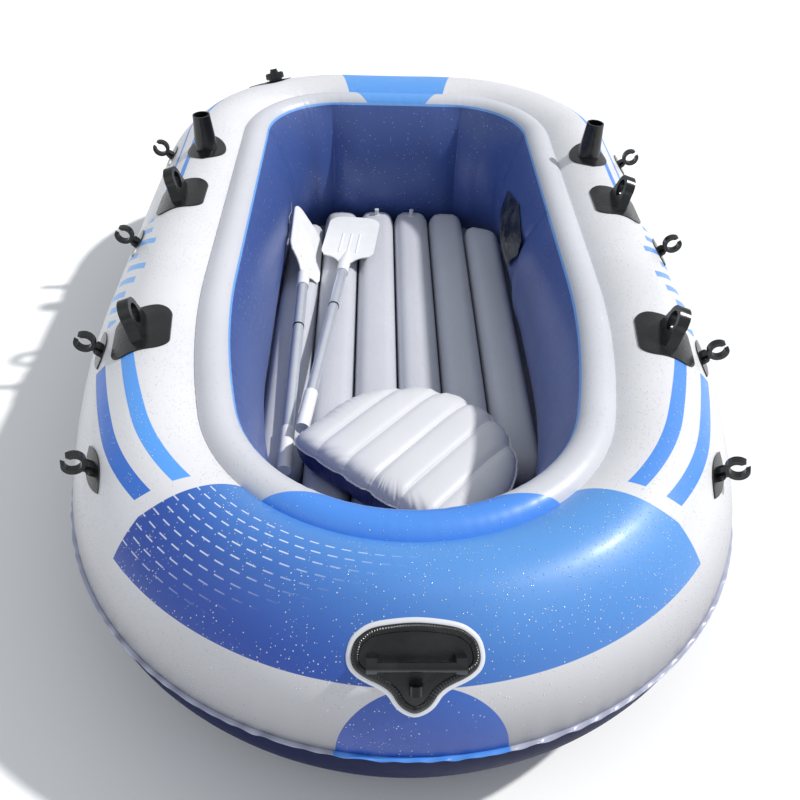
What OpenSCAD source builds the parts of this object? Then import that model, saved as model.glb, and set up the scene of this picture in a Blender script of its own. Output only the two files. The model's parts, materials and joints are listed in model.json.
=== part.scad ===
// Inflatable rowing boat: two-chamber hull, channel floor, loose seat cushion, two take-down oars.
// Millimetres. +Z is up, the bow points to -Y, and the origin is under the middle of the hull.

/* [Hull] */
// Beam over the outer air tube, without the seam flange
beam = 1400; // [1300:10:1700]
// Length over the outer air tube, without the seam flange
boat_len = 2370; // [2300:10:2850]
// Radius of the outer air tube
tube_r = 250; // [225:1:265]
// Radius of the tube's inner shoulder, where it rolls down to the crease
shoulder_r = 110; // [90:1:130]
// Direction on the tube, from level, at which the shoulder starts
shoulder_from = 60; // [50:1:70]
// Direction on the shoulder at which the crease lies
crease_at = 133; // [125:1:140]
// Rise of the bow arc's centre line inside the side line
nose_inset = 45; // [20:1:80]
// Radius of the long arcs from the straight sides to the bow
bow_side_r = 2135; // [1800:5:2600]
// Centre-line radius of the two stern corners
corner_r = 286; // [260:1:300]
// Thickness of the coated fabric
skin_t = 0.8; // [0.5:0.1:1.5]

/* [Inner ring] */
// Radius of the inner ring's rolled top edge
ring_top_r = 40; // [32:1:48]
// Direction on the crease side at which the ring leaves the crease
ring_from = 29.5; // [20:0.5:40]
// Direction at which the ring's top band ends and the inner wall starts
ring_to = 150; // [140:1:160]
// Radius of the inner wall's bulge
wall_r = 420; // [390:5:480]

/* [Seam flange] */
// Width of the welded flange round the tube's middle
flange_w = 10; // [6:1:14]
// Thickness of the welded flange
flange_t = 1.2; // [1:0.1:2]

/* [Floor] */
// Number of air channels in the floor
channels = 6; // [6:2:6]
// Distance kept between the floor and the tube's centre line
floor_side = 110; // [105:1:125]
// Width of each weld between two channels
channel_weld = 4; // [3:0.5:6]

/* [Rowlocks] */
// Distance of the stern rowlocks behind the middle of the hull
rowlock_aft = 197; // [150:5:240]
// Distance of the bow rowlocks ahead of the middle of the hull
rowlock_fore = 376; // [330:5:400]
// Direction of the rowlocks on the tube's shoulder
rowlock_at = 72; // [68:1:76]
// Radius of the oar hole in a rowlock
rowlock_hole_r = 21; // [18:0.5:23]
// Width of the rowlock's ring along its hole
rowlock_w = 24; // [20:1:30]

/* [Rod holders] */
// Distance of the rod holders behind the middle of the hull
holder_aft = 462; // [440:5:480]
// Direction of the rod holders on the tube's shoulder
holder_at = 87; // [84:1:90]
// Height of a rod holder above the tube
holder_h = 92; // [80:1:110]
// Radius of the rod holder's socket
holder_bore_r = 19; // [16:0.5:20]

/* [Oar clips] */
// Distances of the side clips behind the middle of the hull, stern to bow
clip_rows = [552, 62, -355];
// Direction round the bow arc of the bow clips
clip_bow_at = 199.2; // [197:0.2:206]
// Direction of the clips on the tube
clip_at = 40; // [34:1:44]
// Radius of a clip's inner face
clip_bore_r = 14.1; // [14:0.05:15]
// Distance of a clip's axis above the tube
clip_rise = 38; // [34:1:42]
// Turn of the third row of rings, so that an oar in them passes the bow clip
clip_turn = 2.5; // [2:0.5:4]

/* [Bow fittings] */
// Direction of the bow fittings on the tube
bow_at = 40; // [36:1:44]
// Width of the bow patch
bow_patch_w = 190; // [170:2:210]
// Length of the grab handle's bar
handle_len = 146; // [130:2:160]
// Radius of the grab handle's bar
handle_r = 7; // [6:0.5:8]
// Radius of the hole in the tow eye
tow_hole_r = 5; // [4:0.5:6]

/* [Air valves] */
// Direction of the main valve round the stern corner, from the beam
valve_at = 57; // [45:1:65]
// Radius of the main valve's neck
valve_neck_r = 21; // [18:0.5:22]
// Radius of the main valve's throat
valve_throat_r = 15; // [12:0.5:16]
// Radius of the stem of the small floor and cushion valves
stem_r = 6; // [5:0.5:7]
// Radius of the stem's air hole
stem_hole_r = 3; // [2.5:0.5:3.5]

/* [Cushion] */
// Radius of the cushion's round side
cushion_r = 230; // [200:5:240]
// Length of the cushion's straight ends
cushion_straight = 145; // [120:5:160]
// Radius of the cushion's two front corners
cushion_corner_r = 70; // [50:2:80]
// Height of the blown-up cushion
cushion_h = 112; // [90:2:125]
// Turn of the cushion on the floor
cushion_turn = -40; // [-50:1:0]
// Number of air channels in the cushion
cushion_channels = 6; // [4:1:8]

/* [Oars] */
// Length of an oar
oar_len = 1070; // [1000:5:1125]
// Outer radius of the oar's tubes
shaft_r = 14; // [12:0.5:14]
// Wall of the oar's tubes
shaft_wall = 1.3; // [1:0.1:2]
// Outer radius of the grips
grip_r = 16.5; // [15:0.5:17]
// Length of the grips
grip_len = 134; // [110:2:160]
// Distance of the take-down joint from the grip's end
joint_at = 545; // [500:5:600]
// Length of the spigot that holds the two tubes together
spigot_len = 36; // [30:1:38]
// Width of a blade
blade_w = 158; // [150:2:170]
// Length of a blade with its socket
blade_len = 355; // [330:5:380]

/* [Clearances] */
// Gap left where two panels of a skin are joined
panel_gap = 0.03; // [0.02:0.01:0.1]
// Play round the oar's spigot
spigot_play = 0.1; // [0.05:0.01:0.2]
// Gap kept between loose pieces and what they lie on
rest_gap = 0.4; // [0.3:0.1:1]

/* [Hidden] */
$fn = 180;
star = 1;
port = 0;
white = [0.93, 0.93, 0.94];
navy = [0.10, 0.13, 0.35];
blue = [0.16, 0.30, 0.68];
black = [0.07, 0.07, 0.08];
pale = [0.85, 0.86, 0.88];

// plan of the tube's centre line
half_w = beam / 2 - tube_r;
nose_r = half_w - nose_inset;
nose_turn = acos((bow_side_r - half_w) / (bow_side_r - nose_r));
nose_back = (bow_side_r - nose_r) * sin(nose_turn);
side_fore = -boat_len / 2 + tube_r + nose_r + nose_back;
side_aft = boat_len / 2 - tube_r - corner_r;
nose_y = side_fore - nose_back;
corner_x = half_w - corner_r;

// centres of the section's arcs, as distance outside the centre line and height
function dir(a) = [cos(a), sin(a)];
tube_c = [0, tube_r];
shoulder_c = tube_c + (tube_r - shoulder_r) * dir(shoulder_from);
crease = shoulder_c + shoulder_r * dir(crease_at);
ring_c = crease - ring_top_r * dir(ring_from);
wall_c = ring_c - (wall_r - ring_top_r) * dir(ring_to);

// place on the section for a direction on the tube or on its shoulder
function section_c(a) = a <= shoulder_from ? tube_c : shoulder_c;
function section_r(a) = a <= shoulder_from ? tube_r : shoulder_r;
function on_section(a) = section_c(a) + section_r(a) * dir(a);

// inner face of the wall at a height, as distance outside the centre line
function wall_off(z) = wall_c[0] - sqrt(wall_r * wall_r - (z - wall_c[1]) * (z - wall_c[1]));

// bow and stern ends, at distance x from the middle, of the plan grown outward by off
function bow_end(x, off) = x <= (nose_r + off) * cos(nose_turn)
    ? nose_y - sqrt((nose_r + off) * (nose_r + off) - x * x)
    : side_fore - sqrt(pow(bow_side_r + off, 2) - pow(x + bow_side_r - half_w, 2));
function stern_end(x, off) = x <= corner_x
    ? side_aft + corner_r + off
    : side_aft + sqrt(pow(corner_r + off, 2) - pow(x - corner_x, 2));

// floor channels
floor_half = half_w - floor_side;
pitch = (floor_half - channel_weld / 2) / (channels / 2);
channel_r = pitch / 2 + channel_weld / 2;
floor_c = skin_t + channel_r;
floor_top = skin_t + 2 * channel_r;
function channel_x(i) = (i - (channels - 1) / 2) * pitch;
function channel_fore(x) = bow_end(abs(x) + 0.7 * channel_r, -floor_side) + 0.7 * channel_r;
channel_end_gap = 5;
function channel_aft(x) = stern_end(abs(x) + 0.7 * channel_r, -floor_side) - 0.7 * channel_r - channel_end_gap;

// ---------- section and sweep helpers ----------

// thin arc band of the section, t thick inward from radius r, from direction a0 to a1
module arc_band(c, r, a0, a1, t) {
    steps = 6;
    translate(c)
        intersection() {
            difference() {
                circle(r);
                circle(r - t);
            }
            polygon(concat([[0, 0]], [for (i = [0 : steps]) 2 * r * dir(a0 + (a1 - a0) * i / steps)]));
        }
}

// stretches of the plan, each sweeping a section whose X is the distance outside the centre line
module nose_sweep() {
    cut = panel_gap / nose_r * 180 / PI;
    translate([0, nose_y, 0])
        rotate_extrude(angle = 180 - 2 * (nose_turn + cut), start = 180 + nose_turn + cut)
            translate([nose_r, 0])
                children();
}

module bow_side_sweep() {
    translate([half_w - bow_side_r, side_fore, 0])
        rotate_extrude(angle = nose_turn, start = 360 - nose_turn)
            translate([bow_side_r, 0])
                children();
}

module side_sweep() {
    translate([half_w, side_aft - panel_gap, 0])
        rotate([90, 0, 0])
            linear_extrude(side_aft - side_fore - 2 * panel_gap)
                children();
}

module corner_sweep() {
    translate([corner_x, side_aft, 0])
        rotate_extrude(angle = 90, start = 0)
            translate([corner_r, 0])
                children();
}

module transom_sweep() {
    translate([panel_gap - corner_x, side_aft + corner_r, 0])
        rotate([90, 0, 90])
            linear_extrude(2 * (corner_x - panel_gap))
                children();
}

// the whole way round the boat
module sweep() {
    nose_sweep()
        children();
    transom_sweep()
        children();
    for (m = [0, 1])
        mirror([m, 0, 0]) {
            bow_side_sweep()
                children();
            side_sweep()
                children();
            corner_sweep()
                children();
        }
}

// points along an arc of radius r about c, from angle a0 to a1 in n steps
function arc_points(c, r, a0, a1, n) = [for (i = [0 : n]) c + r * on_arc_dir(a0 + (a1 - a0) * i / n)];

function on_arc_dir(a) = [cos(a), sin(a)];

// port half of the plan inside the centre line grown outward by off, from bow to stern
function half_plan(off) = concat(
    arc_points([0, nose_y], nose_r + off, 270, 360 - nose_turn, 26),
    arc_points([half_w - bow_side_r, side_fore], bow_side_r + off, -nose_turn, 0, 13),
    arc_points([corner_x, side_aft], corner_r + off, 0, 90, 30)
);

// plan of everything inside the centre line grown outward by off
module plan_area(off) {
    pts = half_plan(off);
    last = len(pts) - 1;
    polygon(concat(pts, [for (i = [0 : last - 1]) [-pts[last - i].x, pts[last - i].y]]));
}

// band of thickness t laid on the outside of the tube and its shoulder
module tube_band(t) {
    arc_band(tube_c, tube_r + t, 0, shoulder_from, t);
    arc_band(shoulder_c, shoulder_r + t, shoulder_from, crease_at - 8, t);
}

// the tube and its shoulder as a filled section, grown by t
module tube_fill(t) {
    translate(tube_c)
        circle(tube_r + t);
}

module shoulder_fill(t) {
    translate(shoulder_c)
        circle(shoulder_r + t);
}

// local frame on the side of the boat at y and at direction a on the section
// (X down the section, Y along the hull, Z out of the tube)
module on_side(y, a) {
    p = on_section(a);
    turn = y >= side_fore ? 0 : asin((y - side_fore) / bow_side_r);
    centre = y >= side_fore ? [half_w, y] : [half_w - bow_side_r, side_fore] + bow_side_r * dir(turn);
    translate([centre[0], centre[1], 0])
        rotate([0, 0, turn])
            translate([p[0], 0, p[1]])
                rotate([0, 90 - a, 0])
                    children();
}

// local frame on an arc of the plan, with centre c and radius r, in direction b
module on_arc(c, r, b, a) {
    p = on_section(a);
    translate([c[0], c[1], 0])
        rotate([0, 0, b])
            translate([r + p[0], 0, p[1]])
                rotate([0, 90 - a, 0])
                    children();
}

module on_hand(side) {
    mirror([side, 0, 0])
        children();
}

// rounded rectangle of size a by b with corner radius r, centred
module round_rect(a, b, r) {
    square([a - 2 * r, b], center = true);
    square([a, b - 2 * r], center = true);
    for (sx = [-1, 1], sy = [-1, 1])
        translate([sx * (a / 2 - r), sy * (b / 2 - r)])
            circle(r);
}

// leaf of length a along Y and width b
module leaf(a, b) {
    r = (a * a / 4 + b * b / 4) / b;
    intersection() {
        translate([r - b / 2, 0])
            circle(r);
        translate([b / 2 - r, 0])
            circle(r);
    }
}

// ---------- hull ----------

module hull_top_skin() {
    color(white)
        sweep() {
            arc_band(tube_c, tube_r, 0, shoulder_from, skin_t);
            arc_band(shoulder_c, shoulder_r, shoulder_from, crease_at, skin_t);
        }
}

module hull_bottom_skin() {
    color(navy)
        sweep()
            arc_band(tube_c, tube_r, -90, 0, skin_t);
}

module ring_top_skin() {
    color(white)
        sweep()
            arc_band(ring_c, ring_top_r, ring_from, ring_to, skin_t);
}

module inner_wall_skin() {
    color(blue)
        sweep()
            intersection() {
                arc_band(wall_c, wall_r, ring_to, 235, skin_t);
                translate([-wall_r, skin_t])
                    square([wall_r, 3 * tube_r]);
            }
}

module chamber_web() {
    outer = shoulder_c + (shoulder_r - skin_t) * dir(crease_at);
    inner = ring_c + (ring_top_r - skin_t) * dir(ring_from);
    color(white)
        sweep()
            polygon([crease, inner, [inner[0], skin_t], [outer[0], skin_t], outer]);
}

module seam_flange() {
    color(pale)
        sweep()
            translate([tube_r, tube_r - flange_t / 2])
                square([flange_w, flange_t]);
}

module bottom_sheet() {
    color(navy)
        linear_extrude(skin_t)
            plan_area(-panel_gap);
}

// ---------- floor ----------

// capsule of radius r that lies along one channel's line
module channel(x, r) {
    len = channel_aft(x) - channel_fore(x);
    translate([x, channel_aft(x), floor_c])
        rotate([90, 0, 0])
            rotate_extrude()
                intersection() {
                    union() {
                        circle(r);
                        translate([0, len])
                            circle(r);
                        square([r, len]);
                    }
                    translate([0, -r])
                        square([r, len + 2 * r]);
                }
}

// the part of a channel between its two welds, w wide
module channel_cell(x, r, w) {
    intersection() {
        channel(x, r);
        translate([x - w / 2, -boat_len / 2, 0])
            cube([w, boat_len, 3 * channel_r]);
    }
}

module floor_mat() {
    color(pale)
        for (i = [0 : channels - 1])
            difference() {
                channel_cell(channel_x(i), channel_r, pitch - panel_gap);
                channel_cell(channel_x(i), channel_r - skin_t, pitch - skin_t);
            }
}

// ---------- fittings welded to the tube ----------

patch_t = 3;
root_z = 1;

// moulded rowlock: a pad and an upright ring whose hole looks across the boat
module rowlock(side, y) {
    ring_wall = 12;
    ring_r = rowlock_hole_r + ring_wall;
    rise = ring_r + 5;
    color(black)
        on_hand(side) {
            intersection() {
                union() {
                    side_sweep()
                        tube_band(patch_t);
                    bow_side_sweep()
                        tube_band(patch_t);
                }
                on_side(y, rowlock_at)
                    translate([0, 0, -30])
                        linear_extrude(60)
                            round_rect(124, 150, 34);
            }
            on_side(y, rowlock_at)
                rotate([90, 0, 90])
                    translate([0, 0, -rowlock_w / 2])
                        difference() {
                            linear_extrude(rowlock_w) {
                                translate([0, rise])
                                    circle(ring_r);
                                polygon([[-46, root_z], [46, root_z], [ring_r, rise], [-ring_r, rise]]);
                            }
                            translate([0, rise, -1])
                                cylinder(h = rowlock_w + 2, r = rowlock_hole_r);
                        }
        }
}

module rowlock_aft_star() {
    rowlock(star, rowlock_aft);
}

module rowlock_fore_star() {
    rowlock(star, -rowlock_fore);
}

module rowlock_aft_port() {
    rowlock(port, rowlock_aft);
}

module rowlock_fore_port() {
    rowlock(port, -rowlock_fore);
}

// moulded rod holder: an oval pad and a tapered open-topped socket
module rod_holder(side) {
    base_r = 31;
    top_r = holder_bore_r + 4;
    floor_t = 8;
    sunk = 6;
    color(black)
        on_hand(side)
            difference() {
                union() {
                    intersection() {
                        side_sweep()
                            tube_band(patch_t);
                        on_side(holder_aft, holder_at)
                            translate([0, 0, -30])
                                linear_extrude(60)
                                    leaf(150, 104);
                    }
                    on_side(holder_aft, holder_at)
                        translate([0, 0, -sunk])
                            cylinder(h = holder_h + sunk, r1 = base_r, r2 = top_r);
                }
                side_sweep()
                    shoulder_fill(0);
                on_side(holder_aft, holder_at)
                    translate([0, 0, floor_t])
                        cylinder(h = holder_h, r = holder_bore_r);
            }
}

module rod_holder_star() {
    rod_holder(star);
}

module rod_holder_port() {
    rod_holder(port);
}

// open C ring on a short stem, in the local frame of its pad
module clip_ring() {
    ring_r = clip_bore_r + 8;
    len = 15;
    mouth = 17;
    rotate([90, 0, 0])
        translate([0, 0, -len / 2])
            difference() {
                linear_extrude(len) {
                    translate([0, clip_rise])
                        circle(ring_r);
                    translate([-7, root_z])
                        square([14, clip_rise - clip_bore_r - root_z]);
                }
                translate([0, clip_rise, -1])
                    cylinder(h = len + 2, r = clip_bore_r);
                translate([-mouth / 2, clip_rise, -1])
                    cube([mouth, 2 * ring_r, len + 2]);
            }
    for (s = [-1, 1])
        translate([0, s * 13, 0])
            rotate([0, 90, 0])
                translate([0, 0, -3])
                    difference() {
                        linear_extrude(6) {
                            translate([-9, 0])
                                circle(6);
                            translate([-9, -6])
                                square([9 - root_z, 12]);
                        }
                        translate([-9, 0, -1])
                            cylinder(h = 8, r = 3);
                    }
}

module clip_pad_outline() {
    translate([0, 0, -30])
        linear_extrude(60)
            leaf(130, 40);
}

module side_clip(side, y, turn = 0) {
    color(black)
        on_hand(side) {
            intersection() {
                union() {
                    side_sweep()
                        arc_band(tube_c, tube_r + patch_t, 0, shoulder_from, patch_t);
                    bow_side_sweep()
                        arc_band(tube_c, tube_r + patch_t, 0, shoulder_from, patch_t);
                }
                on_side(y, clip_at)
                    clip_pad_outline();
            }
            on_side(y, clip_at)
                rotate([0, 0, turn])
                    clip_ring();
        }
}

module bow_clip(side) {
    c = [0, nose_y];
    color(black)
        on_hand(side) {
            intersection() {
                nose_sweep()
                    arc_band(tube_c, tube_r + patch_t, 0, shoulder_from, patch_t);
                on_arc(c, nose_r, 180 - clip_bow_at, clip_at)
                    clip_pad_outline();
            }
            on_arc(c, nose_r, 180 - clip_bow_at, clip_at)
                clip_ring();
        }
}

module clip_star_1() {
    side_clip(star, clip_rows[0]);
}

module clip_star_2() {
    side_clip(star, clip_rows[1]);
}

module clip_star_3() {
    side_clip(star, clip_rows[2], clip_turn);
}

module clip_star_4() {
    bow_clip(star);
}

module clip_port_1() {
    side_clip(port, clip_rows[0]);
}

module clip_port_2() {
    side_clip(port, clip_rows[1]);
}

module clip_port_3() {
    side_clip(port, clip_rows[2], clip_turn);
}

module clip_port_4() {
    bow_clip(port);
}

// ---------- bow fittings ----------

handle_rise = 30;

module on_bow(a) {
    on_arc([0, nose_y], nose_r, 270, a)
        children();
}

// half widths of the bow patch, each at its distance down the tube
patch_rows = [[-57, 0], [-54, 38], [-48, 66], [-37, 83], [-26, 91], [-8, 95], [6, 92], [16, 83],
    [24, 70], [31, 55], [39, 42], [48, 33], [58, 27], [67, 20], [74, 10], [77, 0]];

// point between b and c of a smooth curve through a, b, c and d
function between(a, b, c, d, t) = 0.5 * (2 * b + t * (c - a) + t * t * (2 * a - 5 * b + 4 * c - d)
    + t * t * t * (3 * b - a - 3 * c + d));

// half outline of the bow patch as a smooth curve, three points to each row
function patch_half() = [
    for (i = [0 : len(patch_rows) - 2])
        for (k = [0 : 2])
            between(
                i == 0 ? [patch_rows[1].x, -patch_rows[1].y] : patch_rows[i - 1],
                patch_rows[i],
                patch_rows[i + 1],
                i == len(patch_rows) - 2 ? [patch_rows[i].x, -patch_rows[i].y] : patch_rows[i + 2],
                k / 3
            )
];

// shield outline with X down the tube and Y across the boat
module bow_shield() {
    side = patch_half();
    wide = bow_patch_w / 190;
    last = len(side) - 1;
    polygon(concat(
        [for (p = side) [p.x, p.y * wide]],
        [[77, 0]],
        [for (i = [0 : last - 1]) [side[last - i].x, -side[last - i].y * wide]]
    ));
}

module bow_patch() {
    color(black)
        intersection() {
            nose_sweep()
                arc_band(tube_c, tube_r + patch_t, 0, shoulder_from, patch_t);
            on_bow(bow_at)
                translate([0, 0, -30])
                    linear_extrude(60)
                        bow_shield();
        }
}

// fittings that stand on the bow patch end at its outer face
module on_bow_patch() {
    difference() {
        children();
        nose_sweep()
            tube_fill(patch_t);
    }
}

module bow_handle() {
    lug_in = 8;
    color(black)
        on_bow_patch()
            on_bow(bow_at)
                translate([-2, 0, 0]) {
                    translate([0, handle_len / 2, handle_rise])
                        rotate([90, 0, 0])
                            cylinder(h = handle_len, r = handle_r);
                    for (s = [-1, 1])
                        translate([0, s * (handle_len / 2 - lug_in), 0])
                            rotate([90, 0, 0])
                                linear_extrude(2 * lug_in, center = true) {
                                    translate([-12, -8])
                                        square([24, 8 + handle_rise - 8]);
                                    translate([0, handle_rise - 8])
                                        circle(12);
                                }
                }
}

tow_eye_down = 36;

module tow_eye() {
    color(black)
        on_bow_patch()
            on_bow(bow_at)
                translate([tow_eye_down, 0, 0])
                    rotate([90, 0, 90])
                        difference() {
                            linear_extrude(14, center = true) {
                                translate([0, 15])
                                    circle(tow_hole_r + 5);
                                translate([-tow_hole_r - 5, -6])
                                    square([2 * tow_hole_r + 10, 21]);
                            }
                            translate([0, 15, -10])
                                cylinder(h = 20, r = tow_hole_r);
                        }
}

// ---------- main air valve on the starboard stern corner ----------

valve_h = 13;
collar_h = 11;
collar_gap = 0.35;

module on_valve() {
    on_hand(star)
        on_arc([corner_x, side_aft], corner_r, valve_at, 66)
            children();
}

module valve_base() {
    color(black)
        difference() {
            union() {
                intersection() {
                    on_hand(star)
                        corner_sweep()
                            tube_band(2);
                    on_valve()
                        translate([0, -20, -40])
                            linear_extrude(80)
                                leaf(150, 76);
                }
                on_valve()
                    translate([0, 0, -4])
                        cylinder(h = valve_h + 4, r = valve_neck_r);
            }
            on_hand(star)
                corner_sweep()
                    shoulder_fill(0);
            on_valve()
                translate([0, 0, -20])
                    cylinder(h = 60, r = valve_throat_r);
        }
}

// knurled collar that screws over the neck and closes most of the throat
module valve_collar() {
    grips = 18;
    outer = valve_neck_r + 6;
    color(black)
        on_valve()
            difference() {
                union() {
                    translate([0, 0, 5])
                        cylinder(h = valve_h - 5 + collar_h, r = outer);
                    for (i = [0 : grips - 1])
                        rotate([0, 0, (i + 0.5) * 360 / grips])
                            translate([outer - 0.2, 0, 7])
                                cylinder(h = valve_h - 5 + collar_h - 5, r = 1.7);
                }
                translate([0, 0, -1])
                    cylinder(h = 1 + valve_h + collar_gap, r = valve_neck_r + collar_gap);
                translate([0, 0, -1])
                    cylinder(h = 60, r = 10);
                translate([0, 0, valve_h + collar_h - 4])
                    cylinder(h = 10, r = 14);
            }
}

// push-in cap of the valve's inner mouth
module valve_cap() {
    color(black)
        on_valve()
            translate([0, 0, valve_h + collar_h - 4 + collar_gap]) {
                cylinder(h = 9, r = 13);
                translate([0, 0, -8])
                    cylinder(h = 8, r = 9.6);
                translate([-2.5, -11, 9])
                    cube([5, 22, 6]);
            }
}

// ---------- small stem valves ----------

module stem(h) {
    difference() {
        union() {
            cylinder(h = h, r = stem_r);
            translate([0, 0, -2])
                cylinder(h = 3.2, r = stem_r + 6);
        }
        translate([0, 0, 2])
            cylinder(h = h, r = stem_hole_r);
    }
}

module stem_plug(h) {
    translate([0, 0, h + 0.3])
        cylinder(h = 3, r = stem_r + 1);
    translate([0, 0, h - 8])
        cylinder(h = 8.3, r = stem_hole_r - 0.1);
}

stem_h = 16;

module on_channel(side) {
    x = (side == star ? -1 : 1) * pitch / 2;
    translate([x, channel_aft(x) - 6, floor_top])
        children();
}

module floor_valve(side) {
    x = (side == star ? -1 : 1) * pitch / 2;
    color(pale)
        difference() {
            on_channel(side)
                stem(stem_h);
            channel(x, channel_r);
        }
}

module floor_valve_star() {
    floor_valve(star);
}

module floor_valve_port() {
    floor_valve(port);
}

module floor_plug_star() {
    color(pale)
        on_channel(star)
            stem_plug(stem_h);
}

module floor_plug_port() {
    color(pale)
        on_channel(port)
            stem_plug(stem_h);
}

// ---------- pieces welded to the inner wall ----------

// band of thickness t laid on the cockpit side of the inner wall
module wall_band(t) {
    arc_band(wall_c, wall_r + t, ring_to + 4, 205, t);
}

module repair_film() {
    color([0.8, 0.85, 0.9])
        on_hand(star)
            intersection() {
                side_sweep()
                    wall_band(0.5);
                translate([0, side_aft - 82, floor_top + 66])
                    rotate([90, 0, 90])
                        linear_extrude(half_w)
                            round_rect(130, 96, 8);
            }
}

module wall_pouch() {
    color(black)
        intersection() {
            side_sweep()
                wall_band(1.5);
            translate([0, side_aft - 260, floor_top + 160])
                rotate([90, 0, 90])
                    linear_extrude(half_w)
                        polygon([[150, 62], [-20, 96], [-170, 70], [-60, -92], [150, -58]]);
        }
}

// ---------- seat cushion ----------

cushion_t = 0.8;
cushion_z = floor_top + rest_gap;
cushion_front = [-(half_w - 376), nose_y - 33];

module on_cushion() {
    translate([cushion_front[0], cushion_front[1], cushion_z])
        rotate([0, 0, cushion_turn])
            children();
}

// half-round plan with rounded front corners, taken in by t
module cushion_plan(t) {
    r = cushion_r - t;
    cr = cushion_corner_r - t;
    translate([0, cushion_straight])
        circle(r);
    translate([-r, cushion_corner_r])
        square([2 * r, cushion_straight - cushion_corner_r]);
    translate([-r + cr, t])
        square([2 * (r - cr), cushion_straight]);
    for (s = [-1, 1])
        translate([s * (r - cr), cushion_corner_r])
            circle(cr);
}

module cushion_top_skin() {
    half = cushion_h / 2;
    color(white)
        on_cushion()
            translate([0, 0, half])
                difference() {
                    linear_extrude(half)
                        cushion_plan(0);
                    translate([0, 0, -1])
                        linear_extrude(half + 1 - cushion_t)
                            cushion_plan(cushion_t);
                }
}

module cushion_bottom_skin() {
    half = cushion_h / 2;
    color(navy)
        on_cushion()
            difference() {
                linear_extrude(half)
                    cushion_plan(0);
                translate([0, 0, cushion_t])
                    linear_extrude(half)
                        cushion_plan(cushion_t);
            }
}

module cushion_webs() {
    step = 2 * cushion_r / cushion_channels;
    color(white)
        on_cushion()
            for (i = [1 : cushion_channels - 1])
                translate([-cushion_r + i * step - cushion_t / 2, 30, cushion_t])
                    cube([cushion_t, cushion_straight + 60, cushion_h - 2 * cushion_t]);
}

module on_cushion_valve() {
    on_cushion()
        translate([0, cushion_straight + cushion_r, cushion_h * 0.27])
            rotate([-90, 0, 0])
                children();
}

module cushion_valve() {
    color(pale)
        difference() {
            on_cushion_valve()
                stem(stem_h);
            on_cushion()
                translate([0, cushion_straight, 0])
                    cylinder(h = cushion_h, r = cushion_r);
        }
}

module cushion_plug() {
    color(pale)
        on_cushion_valve()
            stem_plug(stem_h);
}

// ---------- oars ----------

// ends of each oar's axis: grip end, then blade tip direction from the same values
in_half = half_w + wall_off(floor_top + 16);
star_grip = [-(in_half - 72), nose_y + 88, floor_top + 16];
star_tip = [-(in_half - 68), nose_y + 88 + oar_len, floor_top + 52];
port_grip = [-(in_half - 108), nose_y + 185, floor_top + 56];
port_tip = [-(in_half - 212), nose_y + 185 + oar_len, floor_top + 16];

// frame on an oar: Y runs from the grip to the blade, X lies across the blade, roll turns the blade
module on_oar(p, q, roll) {
    d = q - p;
    flat = sqrt(d[0] * d[0] + d[1] * d[1]);
    translate(p)
        rotate([0, 0, -atan2(d[0], d[1])])
            rotate([atan2(d[2], flat), 0, 0])
                rotate([0, roll, 0])
                    children();
}

module star_oar() {
    on_oar(star_grip, star_tip, 61)
        children();
}

module port_oar() {
    on_oar(port_grip, port_tip, 0)
        children();
}

// length h of cylinder along +Y from y
module along(y, h, r) {
    translate([0, y + h, 0])
        rotate([90, 0, 0])
            cylinder(h = h, r = r);
}

cap_t = 6;

module grip() {
    difference() {
        along(0, grip_len, grip_r);
        along(cap_t, grip_len, shaft_r);
    }
}

module upper_tube() {
    difference() {
        along(cap_t, joint_at - cap_t, shaft_r);
        along(cap_t - 1, joint_at, shaft_r - shaft_wall);
    }
}

ferrule_w = 5;

module ferrule() {
    difference() {
        along(joint_at - 12 - ferrule_w, ferrule_w, shaft_r + 1.2);
        along(joint_at - 13 - ferrule_w, ferrule_w + 2, shaft_r);
    }
}

module lower_tube() {
    blade_from = oar_len - blade_len;
    in_blade = 42;
    spigot_r = shaft_r - shaft_wall - spigot_play;
    difference() {
        union() {
            along(joint_at + rest_gap, blade_from + in_blade - joint_at - rest_gap, shaft_r);
            along(joint_at - spigot_len, spigot_len + 20, spigot_r);
        }
        along(joint_at - spigot_len - 1, blade_from + in_blade - joint_at + spigot_len + 2,
            spigot_r - shaft_wall);
    }
}

module blade_outline() {
    body = 262;
    shoulder = 44;
    neck = 15;
    translate([0, oar_len - body / 2])
        round_rect(blade_w, body, shoulder);
    difference() {
        translate([-blade_w / 2 + 10, oar_len - body - 30])
            square([blade_w - 20, 80]);
        for (s = [-1, 1])
            translate([s * (neck + 62), oar_len - body - 52])
                circle(62);
    }
}

module blade() {
    blade_from = oar_len - blade_len;
    plate_t = 3.4;
    socket_r = shaft_r + 3;
    difference() {
        union() {
            translate([0, 0, -plate_t / 2])
                linear_extrude(plate_t)
                    blade_outline();
            along(blade_from, 60, socket_r);
            translate([0, blade_from + 60 + 70, 0])
                rotate([90, 0, 0])
                    cylinder(h = 70, r1 = 4, r2 = socket_r);
            for (x = [-26, 0, 26])
                translate([x, 0, 0])
                    along(oar_len - 235, 120, 4);
        }
        along(blade_from - 1, 43, shaft_r);
    }
}

module oar_star_grip() {
    color(white)
        star_oar()
            grip();
}

module oar_star_upper() {
    color(pale)
        star_oar()
            upper_tube();
}

module oar_star_ferrule() {
    color(black)
        star_oar()
            ferrule();
}

module oar_star_lower() {
    color(pale)
        star_oar()
            lower_tube();
}

module oar_star_blade() {
    color(white)
        star_oar()
            blade();
}

module oar_port_grip() {
    color(white)
        port_oar()
            grip();
}

module oar_port_upper() {
    color(pale)
        port_oar()
            upper_tube();
}

module oar_port_ferrule() {
    color(black)
        port_oar()
            ferrule();
}

module oar_port_lower() {
    color(pale)
        port_oar()
            lower_tube();
}

module oar_port_blade() {
    color(white)
        port_oar()
            blade();
}

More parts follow.
